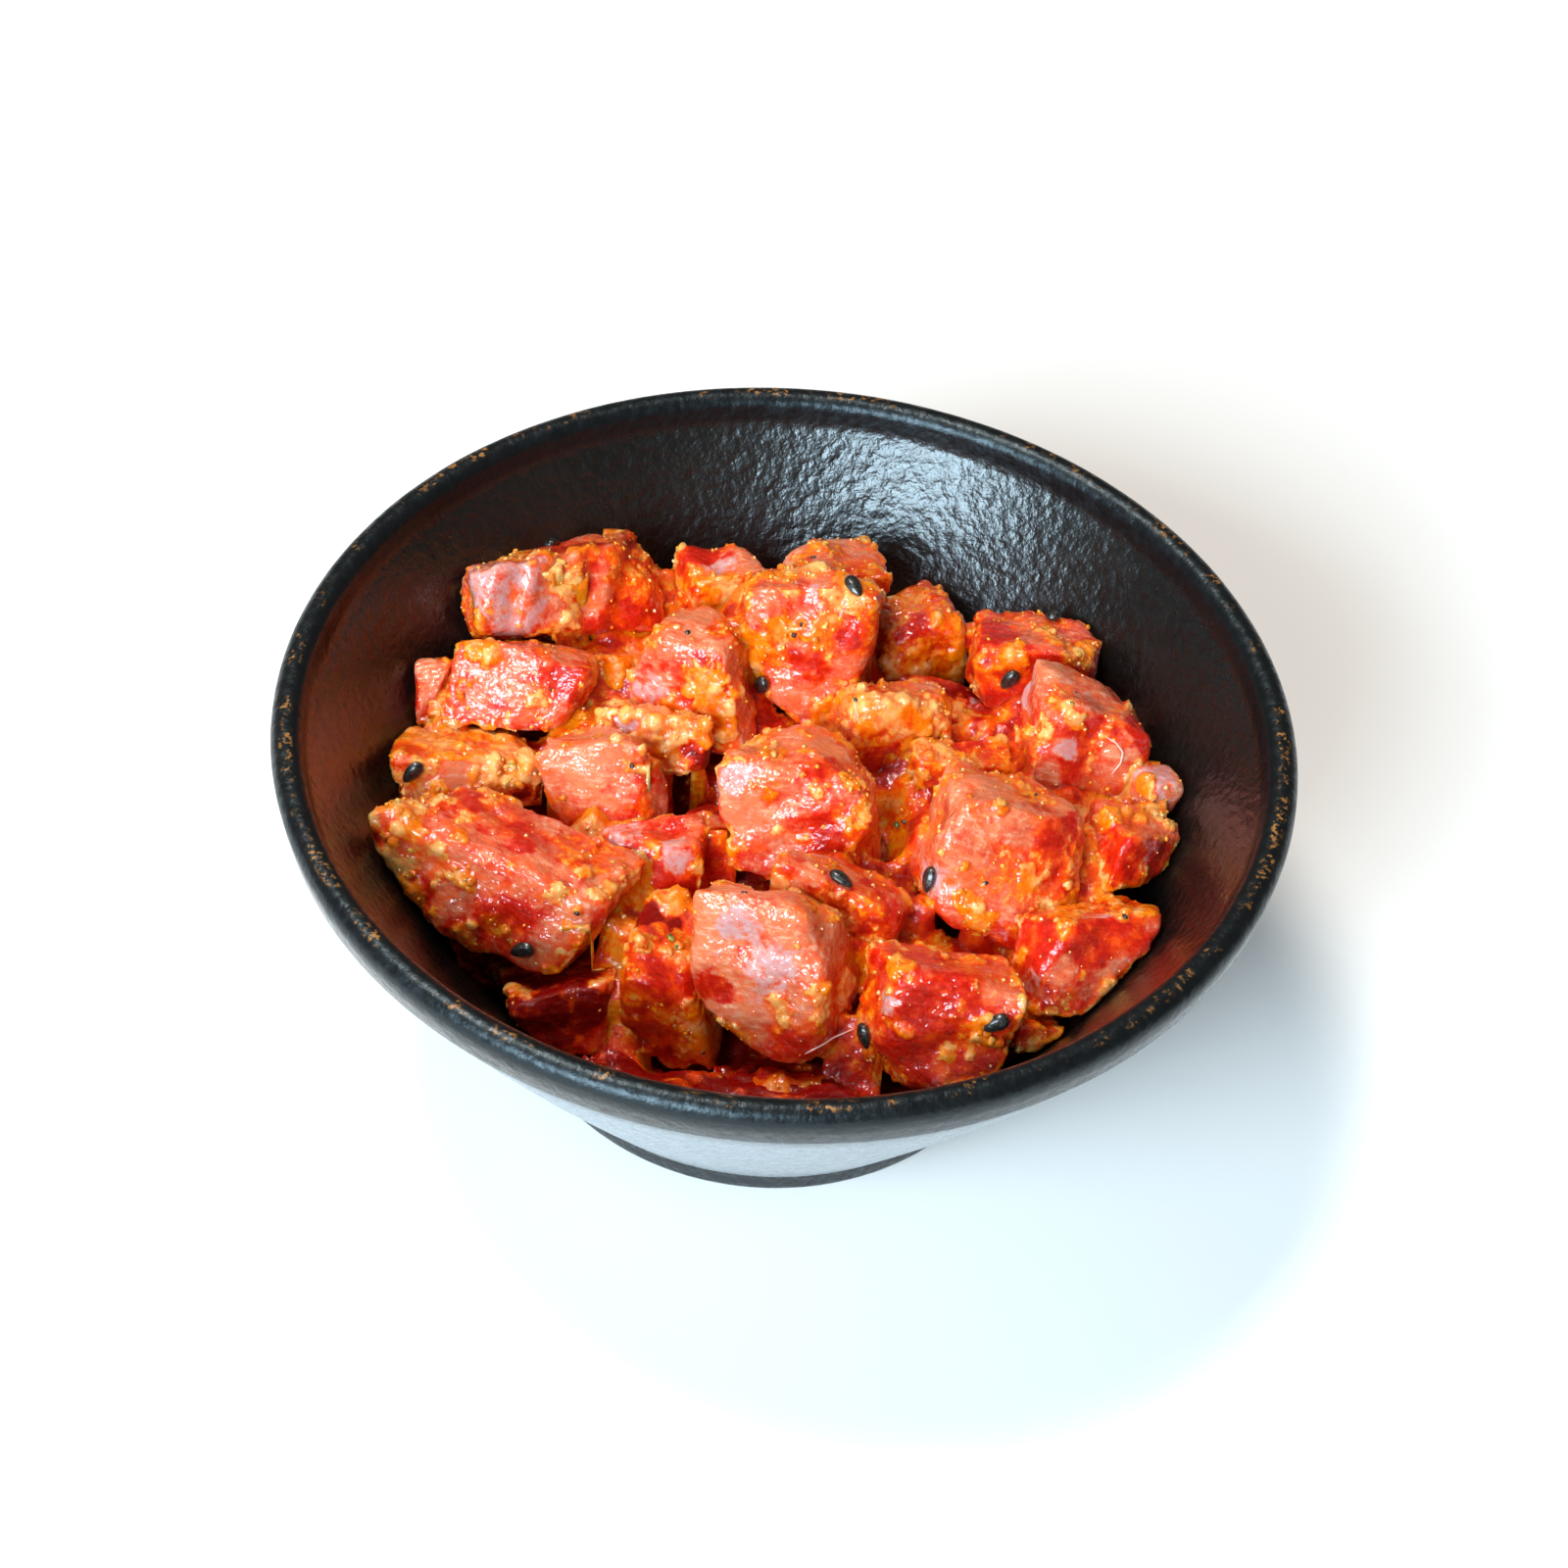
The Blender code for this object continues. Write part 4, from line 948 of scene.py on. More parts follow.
def blobs_on(block, points, normals, local):
    """The blobs of sauce that show on a block, each a low, ragged dome round the skin point that shows at
    its place: how high they rise at each point, how much of the skin they cover and how creamy they are."""
    across, down = shown_place(points, normals)
    ragged = BLOB_RAGGED * noise("blob", local, block.number)
    height, share, cream = (np.zeros(len(points)) for _ in range(3))
    for number, (blob_across, blob_down, radius) in enumerate(BLOBS):
        off = np.hypot(across - blob_across, down - blob_down)
        nearest = np.argmin(off)
        if off[nearest] < BLOB_MISS:
            near = 1 - ((points - points[nearest]) ** 2).sum(axis=1) / radius**2
            near = np.where(near > BLOB_END, near + ragged, near)
            height = np.maximum(height, BLOB_RISE * radius * np.clip(near, 0, 1))
            share = np.maximum(share, smooth_step(*BLOB_FADE, near))
            cream = np.where(near > 0, BLOB_CREAM + BLOB_CREAM_SPAN * (number * GOLDEN % 1), cream)
    return height, share, cream


def add_mesh(name, points, faces, material):
    """A piece from points in millimetres and faces, which rides on the part's one body."""
    mesh = bpy.data.meshes.new(name)
    rows = faces if isinstance(faces, list) else faces.tolist()
    mesh.from_pydata((np.asarray(points) * MM).tolist(), [], rows)
    mesh.materials.append(material)
    mesh.shade_smooth()
    piece = bpy.data.objects.new(name, mesh)
    bpy.context.collection.objects.link(piece)
    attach(piece, "root")
    return piece


def set_attribute(piece, name, kind, values):
    """A value at each point, which the material reads."""
    attribute = piece.data.attributes.new(name, kind, "POINT")
    key = {"FLOAT": "value", "FLOAT_VECTOR": "vector", "FLOAT_COLOR": "color"}[kind]
    attribute.data.foreach_set(key, np.asarray(values, np.float32).ravel())


def paint(piece, covers, fibres, lumps):
    """What the tuna's material reads at each point: its cover, its place along the fibres, how high a lump
    is, from which it paints shade in the hollows of the sauce and highlight on its tops."""
    set_attribute(piece, "cover", "FLOAT_COLOR", covers)
    set_attribute(piece, "fibre", "FLOAT_VECTOR", fibres)
    set_attribute(piece, "lump", "FLOAT", lumps)


def add_blocks(blocks, material):
    """Each block at full detail in place of its solid. Gives back all the skins' points, normals, covers
    and how freely they lie, for what sticks to them."""
    skins = []
    for name, block in blocks.items():
        counts = np.maximum(np.round(block.size / SKIN_SPACING), SKIN_LEAST_STEPS).astype(int)
        directions, quads = block.directions(tuple(counts))
        offsets, free = block.surface(directions)
        normals = point_normals(offsets, quads)
        local = offsets @ block.turn
        points = block.centre + offsets
        covers, edge = cover(name, block, local, points, normals, free)
        blob_height, blob_share, blob_cream = blobs_on(block, points, normals, local)
        covers[:, 2] = np.maximum(covers[:, 2], BLOB_SAUCE * blob_share)
        covers[:, 3] += (blob_cream - covers[:, 3]) * blob_share
        rise = CRUMBLY_RISE if block.sauce > CRUMBLY_SAUCE else 1.0
        height, lumps = relief(BLOCK_STEP * block.number, local, covers, free, edge, rise)
        points = points + normals * (height + blob_height)[:, None]
        piece = add_mesh(name.replace("tuna", "skin"), points, quads, material)
        paint(piece, covers, local + FIBRE_SHIFT * block.number, np.maximum(lumps, BLOB_SHADE * blob_height))
        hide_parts(name)
        skins.append((points, normals, covers, free))
    return [np.concatenate(part) for part in zip(*skins)]


def room_below(points, spots):
    """At each spot, the lowest of some points near it."""
    rows = []
    for part in np.array_split(spots, max(1, len(spots) // SPOTS_AT_ONCE)):
        distance = np.hypot(part[:, None, 0] - points[None, :, 0], part[:, None, 1] - points[None, :, 1])
        rows.append(np.where(distance < BED_LOOK_AROUND, points[None, :, 2], FARTHEST).min(axis=1))
    return np.concatenate(rows)


def bed_top(points, waves, spots):
    """The bed's height at each spot: its own uneven level, or less where a block comes lower."""
    level = BED_LEVEL + BED_WAVE_HEIGHT * wave_height(waves, np.column_stack([spots, np.zeros(len(spots))]))
    return np.clip(np.minimum(level, room_below(points, spots) - BED_CLEARANCE), BED_LEAST_HEIGHT, None)


def add_bed(blocks, material):
    """The bed in place of its solid: its top is (share of the edge's radius, angle), with lumps pressed in,
    and its side follows the bowl's wall down to a flat underside. Gives back the points of its top."""
    coarse = np.vstack([block.centre + block.surface(block.coarse)[0] for block in blocks.values()])
    waves = draw_waves(np.random.RandomState(BED_SEED), BED_WAVE_LENGTH)
    angle = 2 * math.pi * np.arange(BED_SPOKES) / BED_SPOKES
    around = np.column_stack([np.cos(angle), np.sin(angle)])
    edge_height = np.full(BED_SPOKES, BED_LEVEL)
    for _ in range(BED_EDGE_ROUNDS):
        edge_radius = inner_radius(edge_height, BED_CLEARANCE)
        edge_height = np.minimum(edge_height, bed_top(coarse, waves, around * edge_radius[:, None]))
    edge_radius = inner_radius(edge_height, BED_CLEARANCE)
    share = np.arange(1, BED_TOP_RINGS + 1) / BED_TOP_RINGS
    spots = (share[:, None, None] * edge_radius[None, :, None] * around).reshape(-1, 2)
    heights = bed_top(coarse, waves, spots)
    heights[-BED_SPOKES:] = edge_height
    top = np.column_stack([spots, heights])
    lumps, own = domes("bed_lump", top)
    inside = np.repeat(smooth_step(*BED_FADE, share), BED_SPOKES)
    top[:, 2] += inside * (BED_RELIEF * (lumps * own - 0.5) + BED_ROUGH * noise("bed_rough", top))
    down = (1 - np.arange(1, BED_WALL_RINGS + 1) / BED_WALL_RINGS) ** BED_WALL_CROWDING
    floor = FLOOR_HEIGHT + BED_CLEARANCE
    side_height = floor + down[:, None] * (edge_height - floor)
    side_radius = inner_radius(side_height, BED_CLEARANCE)
    side = np.concatenate([side_radius[..., None] * around, side_height[..., None]], axis=-1).reshape(-1, 3)
    middle = [0, 0, heights[:BED_SPOKES].mean()]
    points = np.vstack([middle, top, side, [0, 0, floor]])
    faces = turned_faces(BED_TOP_RINGS + BED_WALL_RINGS, BED_SPOKES, False)
    piece = add_mesh("bed_of_tuna", points, faces, material)
    # Painted shade: the bed is coloured deep red by its paleness below 0.
    covers = np.tile(BED_COVER_IN_SHADE, (len(points), 1))
    covers[:, 2] += BED_SAUCE * noise("bed_sauce", points)
    paint(piece, covers, points, domes("bed_grain", points)[0])
    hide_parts("tuna_bed")
    return top


def neighbours(grid, radius, gather):
    """The highest, lowest or sum of the cells of a square grid within a radius, in cells, of each cell."""
    reach = int(radius)
    padded = np.pad(grid, reach, mode="edge")
    rows, columns = grid.shape
    best = None
    for down in range(-reach, reach + 1):
        for across in range(-reach, reach + 1):
            if down * down + across * across <= radius * radius:
                moved = padded[reach + down:reach + down + rows, reach + across:reach + across + columns]
                best = moved if best is None else gather(best, moved)
    return best


def closed_sheet(shown):
    """A thin closed sheet over the squares of a grid whose corners all show: the grid's points that it
    uses, and its faces, in which the underside's points come after the top's."""
    count = len(shown)
    row, column = np.nonzero(shown[:-1, :-1] & shown[1:, :-1] & shown[:-1, 1:] & shown[1:, 1:])
    corner = row * count + column
    quads = np.column_stack([corner, corner + 1, corner + count + 1, corner + count])
    used, quads = np.unique(quads, return_inverse=True)
    quads = quads.reshape(-1, 4)
    edges = np.vstack([quads[:, [side, (side + 1) % 4]] for side in range(4)])
    code = edges[:, 0] * len(used) + edges[:, 1]
    alone = edges[~np.isin(code, edges[:, 1] * len(used) + edges[:, 0])]
    sides = np.column_stack([alone[:, 1], alone[:, 0], alone[:, 0] + len(used), alone[:, 1] + len(used)])
    return used, np.vstack([quads, quads[:, ::-1] + len(used), sides])


def add_fill(skin_points, bed_points, material):
    """The sauce that fills the gaps between the blocks. Over a square grid the pile's height is widened and
    narrowed again, which levels narrow gaps near their top and wide ones deeper down, and the sauce is a
    thin closed sheet there."""
    half = int(RIM_RADIUS / FILL_SPACING)
    count = 2 * half + 1
    height = np.full((count, count), BED_LEAST_HEIGHT)
    everything = np.vstack([skin_points, bed_points])
    cells = np.round(everything[:, :2] / FILL_SPACING).astype(int) + half
    np.maximum.at(height, (cells[:, 1], cells[:, 0]), everything[:, 2])
    height = np.where(height > BED_LEAST_HEIGHT, height, neighbours(height, NEXT_CELLS, np.maximum))
    y, x = (np.mgrid[0:count, 0:count] - half) * FILL_SPACING
    flat = np.stack([x, y, 0 * x], axis=-1).reshape(-1, 3)
    wander, rough = (noise(kind, flat).reshape(count, count) for kind in ("fill_wander", "fill_rough"))
    lump = np.prod(domes("fill_lump", flat), axis=0).reshape(count, count)
    levels = []
    for gap, drop, shift in GAPS:
        wide = neighbours(height, gap / FILL_SPACING, np.maximum)
        levels.append(neighbours(wide, gap / FILL_SPACING, np.minimum) - drop * (1 + shift * wander))
    level = neighbours(np.maximum(*levels), FILL_INSET / FILL_SPACING, np.minimum)
    across, down, _ = picture_place(np.stack([x, y, level], axis=-1).reshape(-1, 3))
    for hole_across, hole_down, reach in HOLES:
        off = np.hypot(across - hole_across, down - hole_down).reshape(count, count)
        level = level - HOLE_DEPTH * smooth_step(*HOLE_FADE, off * CAMERA_DISTANCE / FOCAL_PIXELS / reach)
    from_axis = np.hypot(x, y)
    shown = ((level > height + FILL_RISE) & (from_axis < inner_radius(level, FILL_FROM_WALL))).astype(float)
    for _ in range(FILL_ROUNDS):
        total = neighbours(shown, NEXT_CELLS, np.add) + LITTLE
        level = np.where(total > FILL_KEPT, neighbours(level * shown, NEXT_CELLS, np.add) / total, level)
        shown = (total > FILL_KEPT).astype(float)
    in_bowl = (from_axis < inner_radius(level, FILL_WALL_GAP)) & (level > BED_LEAST_HEIGHT + FILL_OVER_BED)
    level = level + FILL_ROUGH * rough + FILL_LUMP * (lump - FILL_LUMP_SUNK)
    used, faces = closed_sheet((shown > 0) & in_bowl)
    top = np.column_stack([part.ravel()[used] for part in (x, y, level)])
    points = np.vstack([top, top - [0, 0, FILL_THICKNESS]])
    piece = add_mesh("sauce_between", points, faces, material)
    # Painted shade: the deeper the sauce lies below the tops, the darker, redder and less creamy it is
    # painted.
    deep_shade = (neighbours(height, WIDE_GAP / FILL_SPACING, np.maximum) - level).ravel()[used]
    shifts = (0, noise("fill_sauce", top), noise("fill_cream", top))
    pale, sauce, cream = (row[0] + row[1] * deep_shade + row[2] * shift for row, shift in zip(FILL_COVER_WITH_SHADE, shifts))
    covers = np.clip(np.column_stack([pale, 0 * pale, sauce, cream]), 0, 1)
    paint(piece, np.vstack([covers, covers]), points, np.prod(domes("fill_grain", points), axis=0))
    return top, np.tile([0.0, 0.0, 1.0], (len(top), 1)), covers, np.ones(len(top))


def rings(radii, heights, sides):
    """Rings of points round the Z axis, (r cos b, r sin b, z), one for each radius and height."""
    turn = 2 * math.pi * np.arange(sides) / sides
    level = np.repeat(heights[:, None], sides, axis=1)
    ring = np.stack([radii[:, None] * np.cos(turn), radii[:, None] * np.sin(turn), level], axis=-1)
    return ring.reshape(-1, 3)


def ball(count, sides):
    """A ball of radius 1 between two poles, (sin a cos b, sin a sin b, -cos a), and its faces."""
    angle = math.pi * np.arange(1, count + 1) / (count + 1)
    shape = np.vstack([[0, 0, -1], rings(np.sin(angle), -np.cos(angle), sides), [0, 0, 1]])
    return shape, turned_faces(count, sides, True)


def turned_faces(count, sides, rising):
    """Faces of a closed shape of rings of points between two poles, which are its first and last points.
    Rising rings run anticlockwise from the lower pole, and the others from the upper one."""
    side = np.arange(sides)
    after = (side + 1) % sides
    start = 1 + np.arange(count - 1)[:, None] * sides
    quads = np.stack([start + side, start + after, start + after + sides, start + side + sides], axis=-1)
    last = 1 + (count - 1) * sides
    first_cap = np.column_stack([0 * side, 1 + after, 1 + side])
    last_cap = np.column_stack([last + side, last + after, 0 * side + 1 + count * sides])
    if not rising:
        quads, first_cap, last_cap = quads[..., ::-1], first_cap[:, ::-1], last_cap[:, ::-1]
    return quads.reshape(-1, 4).tolist() + first_cap.tolist() + last_cap.tolist()


def copied_faces(faces, size, count):
    """The faces of so many copies of a shape, whose points, so many each, follow one another."""
    return [row for face in faces for row in (np.array(face) + size * np.arange(count)[:, None]).tolist()]


def scatter(ball_counts, places, normals, sizes, rng, flat):
    """Copies of a ball as one mesh: each is turned at random, roughened, pressed flat against the skin and
    sunk a little into it. Gives back the points and faces."""
    shape, faces = ball(*ball_counts)
    count = len(places)
    turns = unit(rng.normal(size=(count, 3, 3)))
    waves = np.einsum("kij,nj->kni", turns, shape)
    rough = 1
    for axis, (height, pace, shift) in enumerate(ROUGH_SINES):
        rough = rough + height * np.sin(pace * waves[..., axis] + shift)
    bodies = shape[None] * rough[..., None]
    aside = unit(np.cross(normals, rng.normal(size=(count, 3))))
    beyond = np.cross(normals, aside)
    long = rng.uniform(*DRAWN_OUT, count)[:, None, None]
    offset = bodies[..., 0:1] * aside[:, None] * long + bodies[..., 1:2] * beyond[:, None]
    offset = offset + (bodies[..., 2:3] * flat + LOOSE_LIFT) * normals[:, None]
    points = places[:, None] + offset * sizes[:, None, None]
    return points.reshape(-1, 3), copied_faces(faces, len(shape), count)


def spots_on_skin(points, normals, rows):
    """For each row's place in the photograph, the skin point that shows there and faces the camera."""
    across, down, away = picture_place(points)
    facing = faces_camera(points, normals)
    spots = []
    for row in rows:
        close = np.hypot(across - row[0], down - row[1]) < SPOT_REACH
        spots.append(int(np.argmin(away + np.where(close & facing, 0, FARTHEST))))
    return spots


def add_sinew(name, knots, material):
    """A thread through some knots: rings of points round a smooth line, thinner towards both ends."""
    along = np.linspace(0, len(knots) - 1, SINEW_STEPS)
    line = np.column_stack([np.interp(along, np.arange(len(knots)), knots[:, axis]) for axis in range(3)])
    for _ in range(SINEW_ROUNDS):
        line[1:-1] = (line[:-2] + 2 * line[1:-1] + line[2:]) / 4
    tangent = unit(np.gradient(line, axis=0))
    aside = unit(np.cross(tangent, SINEW_ASIDE))
    above = np.cross(aside, tangent)
    girth = SINEW_RADIUS * np.sqrt(np.sin(math.pi * np.linspace(*SINEW_ENDS, SINEW_STEPS)))
    ring = rings(girth, girth, SINEW_SIDES).reshape(SINEW_STEPS, SINEW_SIDES, 3)
    around = line[:, None] + ring[..., 0:1] * above[:, None] + ring[..., 1:2] * aside[:, None]
    points = np.vstack([line[:1], around.reshape(-1, 3), line[-1:]])
    piece = add_mesh(name, points, turned_faces(SINEW_STEPS, SINEW_SIDES, False), material)
    set_attribute(piece, "tint", "FLOAT_COLOR", np.tile(SINEW_TINT, (len(points), 1)))


def sprinkle(points, normals, weight, rng, count, radii, crowding, ball_counts):
    """Grains at skin points picked by weight, most of them near the smaller radius."""
    picked = rng.choice(len(points), count, replace=False, p=weight / weight.sum())
    sizes = radii[0] + (radii[1] - radii[0]) * rng.uniform(0, 1, count) ** crowding
    return scatter(ball_counts, points[picked], normals[picked], sizes, rng, SAUCE_FLATNESS)


def add_loose(skins, material, grain_material, pepper_material):
    """The loose lumps and grains of sauce, more where the sauce is thick, and specks of pepper."""
    points, normals, covers, free = skins
    rng = np.random.RandomState(LOOSE_SEED)
    above = (normals[:, 2] > LOOSE_LEAN) & (free > LOOSE_FREE)
    above &= (points[:, 2] > LOOSE_FROM) & (points[:, 2] < LOOSE_TO)
    weight = above * (LOOSE_LEAST + covers[:, 2] ** 2)
    lumps, faces = sprinkle(points, normals, weight**2, rng, LUMPS, LUMP_RADII, LUMP_CROWDING, LUMP_RINGS)
    piece = add_mesh("sauce_lumps", lumps, faces, material)
    tone = np.repeat(rng.uniform(0, 1, LUMPS), len(lumps) // LUMPS)
    lump_covers = np.tile(LOOSE_COVER, (len(lumps), 1))
    lump_covers[:, 3] *= tone
    paint(piece, lump_covers, lumps, LOOSE_LUMP * tone)
    grains, faces = sprinkle(points, normals, weight, rng, GRAINS, GRAIN_RADII, GRAIN_CROWDING, GRAIN_RINGS)
    piece = add_mesh("sauce_grains", grains, faces, grain_material)
    tints = np.array(GRAIN_TINTS)[rng.choice(len(GRAIN_TINTS), GRAINS, p=TINT_SHARES)]
    tints = np.repeat(tints, len(grains) // GRAINS, axis=0)
    set_attribute(piece, "tint", "FLOAT_COLOR", np.column_stack([tints, np.ones(len(grains))]))
    for name, rows, flat, bits in (
        ("pepper_specks", PEPPER, PEPPER_FLATNESS, pepper_material),
        ("herb_flecks", HERBS, HERB_FLATNESS, herb_material()),
    ):
        spots = spots_on_skin(points, normals, rows)
        sizes = [row[2] if len(row) > 2 else PEPPER_SIZE * rng.uniform(*PEPPER_SHARE) for row in rows]
        specks, faces = scatter(GRAIN_RINGS, points[spots], normals[spots], np.array(sizes), rng, flat)
        add_mesh(name, specks, faces, bits)
    for number, sinew in enumerate(SINEWS):
        spots = spots_on_skin(points, normals, sinew)
        add_sinew(f"sinew_{number}", points[spots] + SINEW_LIFT * normals[spots], grain_material)


class Nodes:
    """A short way to write a material's nodes: each call makes one and links or sets its inputs."""

    def __init__(self, name):
        self.material = bpy.data.materials.new(name)
        self.material.use_nodes = True
        self.tree = self.material.node_tree

    def put(self, node, inputs):
        """Link each input to another node's output, or set it."""
        for key, value in inputs.items():
            socket = node.inputs[key]
            if isinstance(value, bpy.types.NodeSocket):
                self.tree.links.new(value, socket)
            elif isinstance(value, tuple) and len(value) == 3 and socket.type == "RGBA":
                socket.default_value = (*value, 1.0)
            else:
                socket.default_value = value

    def make(self, kind, inputs=None, **settings):
        """A node of a kind, with its settings and inputs."""
        node = self.tree.nodes.new(kind)
        for key, value in settings.items():
            setattr(node, key, value)
        self.put(node, inputs or {})
        return node

    def shade(self, inputs):
        """Set the shader's inputs, and give back the material."""
        self.put(self.tree.nodes["Principled BSDF"], inputs)
        return self.material

    def place(self):
        """The place on the object, in metres."""
        return self.make("ShaderNodeTexCoord").outputs["Object"]

    def attribute(self, name, output="Fac"):
        """A point attribute of the mesh."""
        return self.make("ShaderNodeAttribute", attribute_name=name).outputs[output]

    def noise(self, vector, kind):
        """Noise from 0 to 1 of a kind in GRAININESS."""
        scale, detail, rough = GRAININESS[kind]
        inputs = {"Vector": vector, "Scale": scale, "Detail": detail, "Roughness": rough}
        return self.make("ShaderNodeTexNoise", inputs).outputs["Fac"]

    def math(self, operation, *values):
        """One sum of up to three numbers."""
        return self.make("ShaderNodeMath", dict(enumerate(values)), operation=operation).outputs[0]

    def product(self, *values):
        """Some values multiplied."""
        total = values[0]
        for value in values[1:]:
            total = self.math("MULTIPLY", total, value)
        return total

    def weighted(self, total, *parts):
        """A value and each further value times its weight, added up."""
        for value, weight in parts:
            total = self.math("MULTIPLY_ADD", value, weight, total)
        return total

    def look(self, value, kind):
        """A smooth rise or fall between two inputs, of a kind in LOOKS."""
        low, high, start, end = (*LOOKS[kind], 0.0, 1.0)[:4]
        inputs = {"Value": value, "From Min": low, "From Max": high, "To Min": start, "To Max": end}
        node = self.make("ShaderNodeMapRange", inputs, interpolation_type="SMOOTHSTEP", clamp=True)
        return node.outputs["Result"]

    def over(self, colour, *layers):
        """A colour with others laid over it, each by its share."""
        for share, layer in layers:
            inputs = {0: share, 6: colour, 7: layer}
            colour = self.make("ShaderNodeMix", inputs, data_type="RGBA", clamp_factor=True).outputs[2]
        return colour

    def bump(self, height, distance, strength):
        """A normal bent by a height, in metres at full strength."""
        inputs = {"Height": height, "Distance": distance, "Strength": strength}
        return self.make("ShaderNodeBump", inputs).outputs["Normal"]


def tuna_material():
    """Wet raw tuna with film_and_sheen and sauce, from the cover painted on the points and fine noise. The
    cover also paints shade in deep red and in the hollows of the sauce, light on the tops of blocks and
    lumps, and part of the sheen.
    """
    n = Nodes("wet_tuna")
    place = n.place()
    parts = n.make("ShaderNodeSeparateColor", {"Color": n.attribute("cover", "Color")})
    pale, film_and_sheen, sauce = (parts.outputs[part] for part in ("Red", "Green", "Blue"))
    cream = n.attribute("cover", "Alpha")
    lump = n.attribute("lump")
    along = {"Vector": n.attribute("fibre", "Vector"), "Scale": STRAND_STRETCH}
    fine = n.noise(place, "fine")
    middle = n.noise(place, "middle")
    strands = n.noise(n.make("ShaderNodeMapping", along).outputs["Vector"], "strand")
    sway = n.math("SUBTRACT", middle, 0.5)
    speckle = n.math("SUBTRACT", fine, 0.5)

    def shifted(value, kind):
        """A value that the middle and the fine noise shift, of a kind in SHIFTS."""
        return n.weighted(value, *zip((sway, speckle), SHIFTS[kind]))

    tone = shifted(pale, "tone")
    # Deep red under all, which is painted shade where the paleness is below 0, then red, pink, fibres,
    # flecks, film and stain over it.
    flesh = n.over(
        DEEP_RED_AND_SHADE,
        (n.look(tone, "red"), FLESH_RED),
        (n.look(tone, "pink"), FLESH_PINK),
        (n.product(n.look(strands, "strand"), n.look(tone, "strand_on_pale")), FIBRE_PALE),
        (n.product(n.look(fine, "fleck"), n.look(pale, "fleck_on_pale")), FIBRE_PALE),
        # The pale mauve of the film, partly painted sheen.
        (n.look(shifted(film_and_sheen, "veil"), "film_and_sheen"), FILM_AND_SHEEN),
        (n.look(shifted(sauce, "stain"), "stain"), STAIN),
    )
    # The sauce: orange, creamier and yellower by noise, redder in the hollows between lumps, which is painted
    # shade, and paler on their tops, which is painted highlight.
    coat = n.over(
        SAUCE_ORANGE,
        (n.look(shifted(cream, "cream"), "cream"), SAUCE_CREAM),
        (n.look(fine, "yellow"), SAUCE_YELLOW),
        (n.look(lump, "hollow_shade"), HOLLOW_SHADE_RED),
        (n.look(lump, "grain"), TOP_HIGHLIGHT_PALE),
    )
    edge = n.weighted(shifted(sauce, "sauce"), (lump, LUMP_SAUCE))
    bumps = n.weighted(0.0, (fine, FINE_BUMP), (strands, STRAND_BUMP))
    return n.shade({
        "Base Color": n.over(flesh, (n.look(edge, "sauce"), coat)),
        "Roughness": 0.34,
        "Specular IOR Level": 0.12,
        "Subsurface Weight": 0.6,
        "Subsurface Radius": (1.0, 0.22, 0.06),
        "Subsurface Scale": 0.0028,
        "Coat Weight": n.look(pale, "wet"),
        "Coat Roughness": 0.04,
        "Coat IOR": 1.45,
        "Normal": n.bump(bumps, distance=0.0005, strength=0.8),
        "Coat Normal": n.bump(n.noise(place, "ripple"), distance=0.0004, strength=0.75),
    })


def grain_material():
    """Loose grains of sauce and sinews, each of its own tint."""
    n = Nodes("sauce_grain")
    tint = n.attribute("tint", "Color")
    return n.shade({"Base Color": tint, "Roughness": 0.25, "Coat Weight": 0.5, "Coat Roughness": 0.1})


def herb_material():
    """Green herb and pale yellow-green hull."""
    n = Nodes("green_herb")
    patchy = n.look(n.noise(n.place(), "herb"), "herb")
    return n.shade({"Base Color": n.over(HERB_GREEN, (patchy, HULL_YELLOW)), "Roughness": 0.3})


def glaze_material():
    """Black-brown glaze with an orange-peel skin, worn to copper in specks along the lip, and paler and
    blue-grey on the outside, where a painted reflection of the pale floor lies between dark pits."""
    n = Nodes("black_glaze")
    place = n.place()
    axes = n.make("ShaderNodeSeparateXYZ", {"Vector": place})
    height = axes.outputs["Z"]
    across = n.make("ShaderNodeCombineXYZ", {"X": axes.outputs["X"], "Y": axes.outputs["Y"]})
    radius = n.make("ShaderNodeVectorMath", {0: across.outputs[0]}, operation="LENGTH").outputs["Value"]
    lip = n.look(height, "lip")
    peel = n.noise(place, "peel")
    pits = n.make("ShaderNodeTexVoronoi", {"Vector": place, "Scale": PITS_PER_METRE}).outputs["Distance"]
    worn = n.product(
        n.look(radius, "worn_inside"), n.look(radius, "worn_outside"), n.look(height, "worn_height"),
        n.look(n.noise(place, "worn_patch"), "worn_patch"),
        n.look(n.noise(place, "worn_speck"), "worn_speck"),
    )
    colour = n.over(
        GLAZE_BLACK,
        (n.look(n.noise(place, "broad"), "brown"), GLAZE_BROWN),
        (lip, GLAZE_LIP),
        # The outside: dark pits, and between them the pale blue-grey painted reflection.
        (n.attribute("outside"), n.over(GLAZE_PIT, (n.look(pits, "pit"), PAINTED_OUTSIDE_REFLECTION))),
        (worn, WORN_COPPER),
    )
    bumps = n.weighted(0.0, (peel, PEEL_BUMP), (pits, PIT_BUMP))
    bent = n.bump(bumps, distance=0.0006, strength=n.look(lip, "lip_bump"))
    return n.shade({
        "Base Color": colour,
        "Roughness": n.weighted(n.look(peel, "peel_roughness"), (lip, LIP_DULLNESS)),
        "Specular IOR Level": 0.42,
        "Specular Tint": (0.72, 0.90, 1.0),
        "Coat Weight": n.look(lip, "lip_coat"),
        "Coat Roughness": 0.28,
        "Normal": bent,
        "Coat Normal": bent,
    })


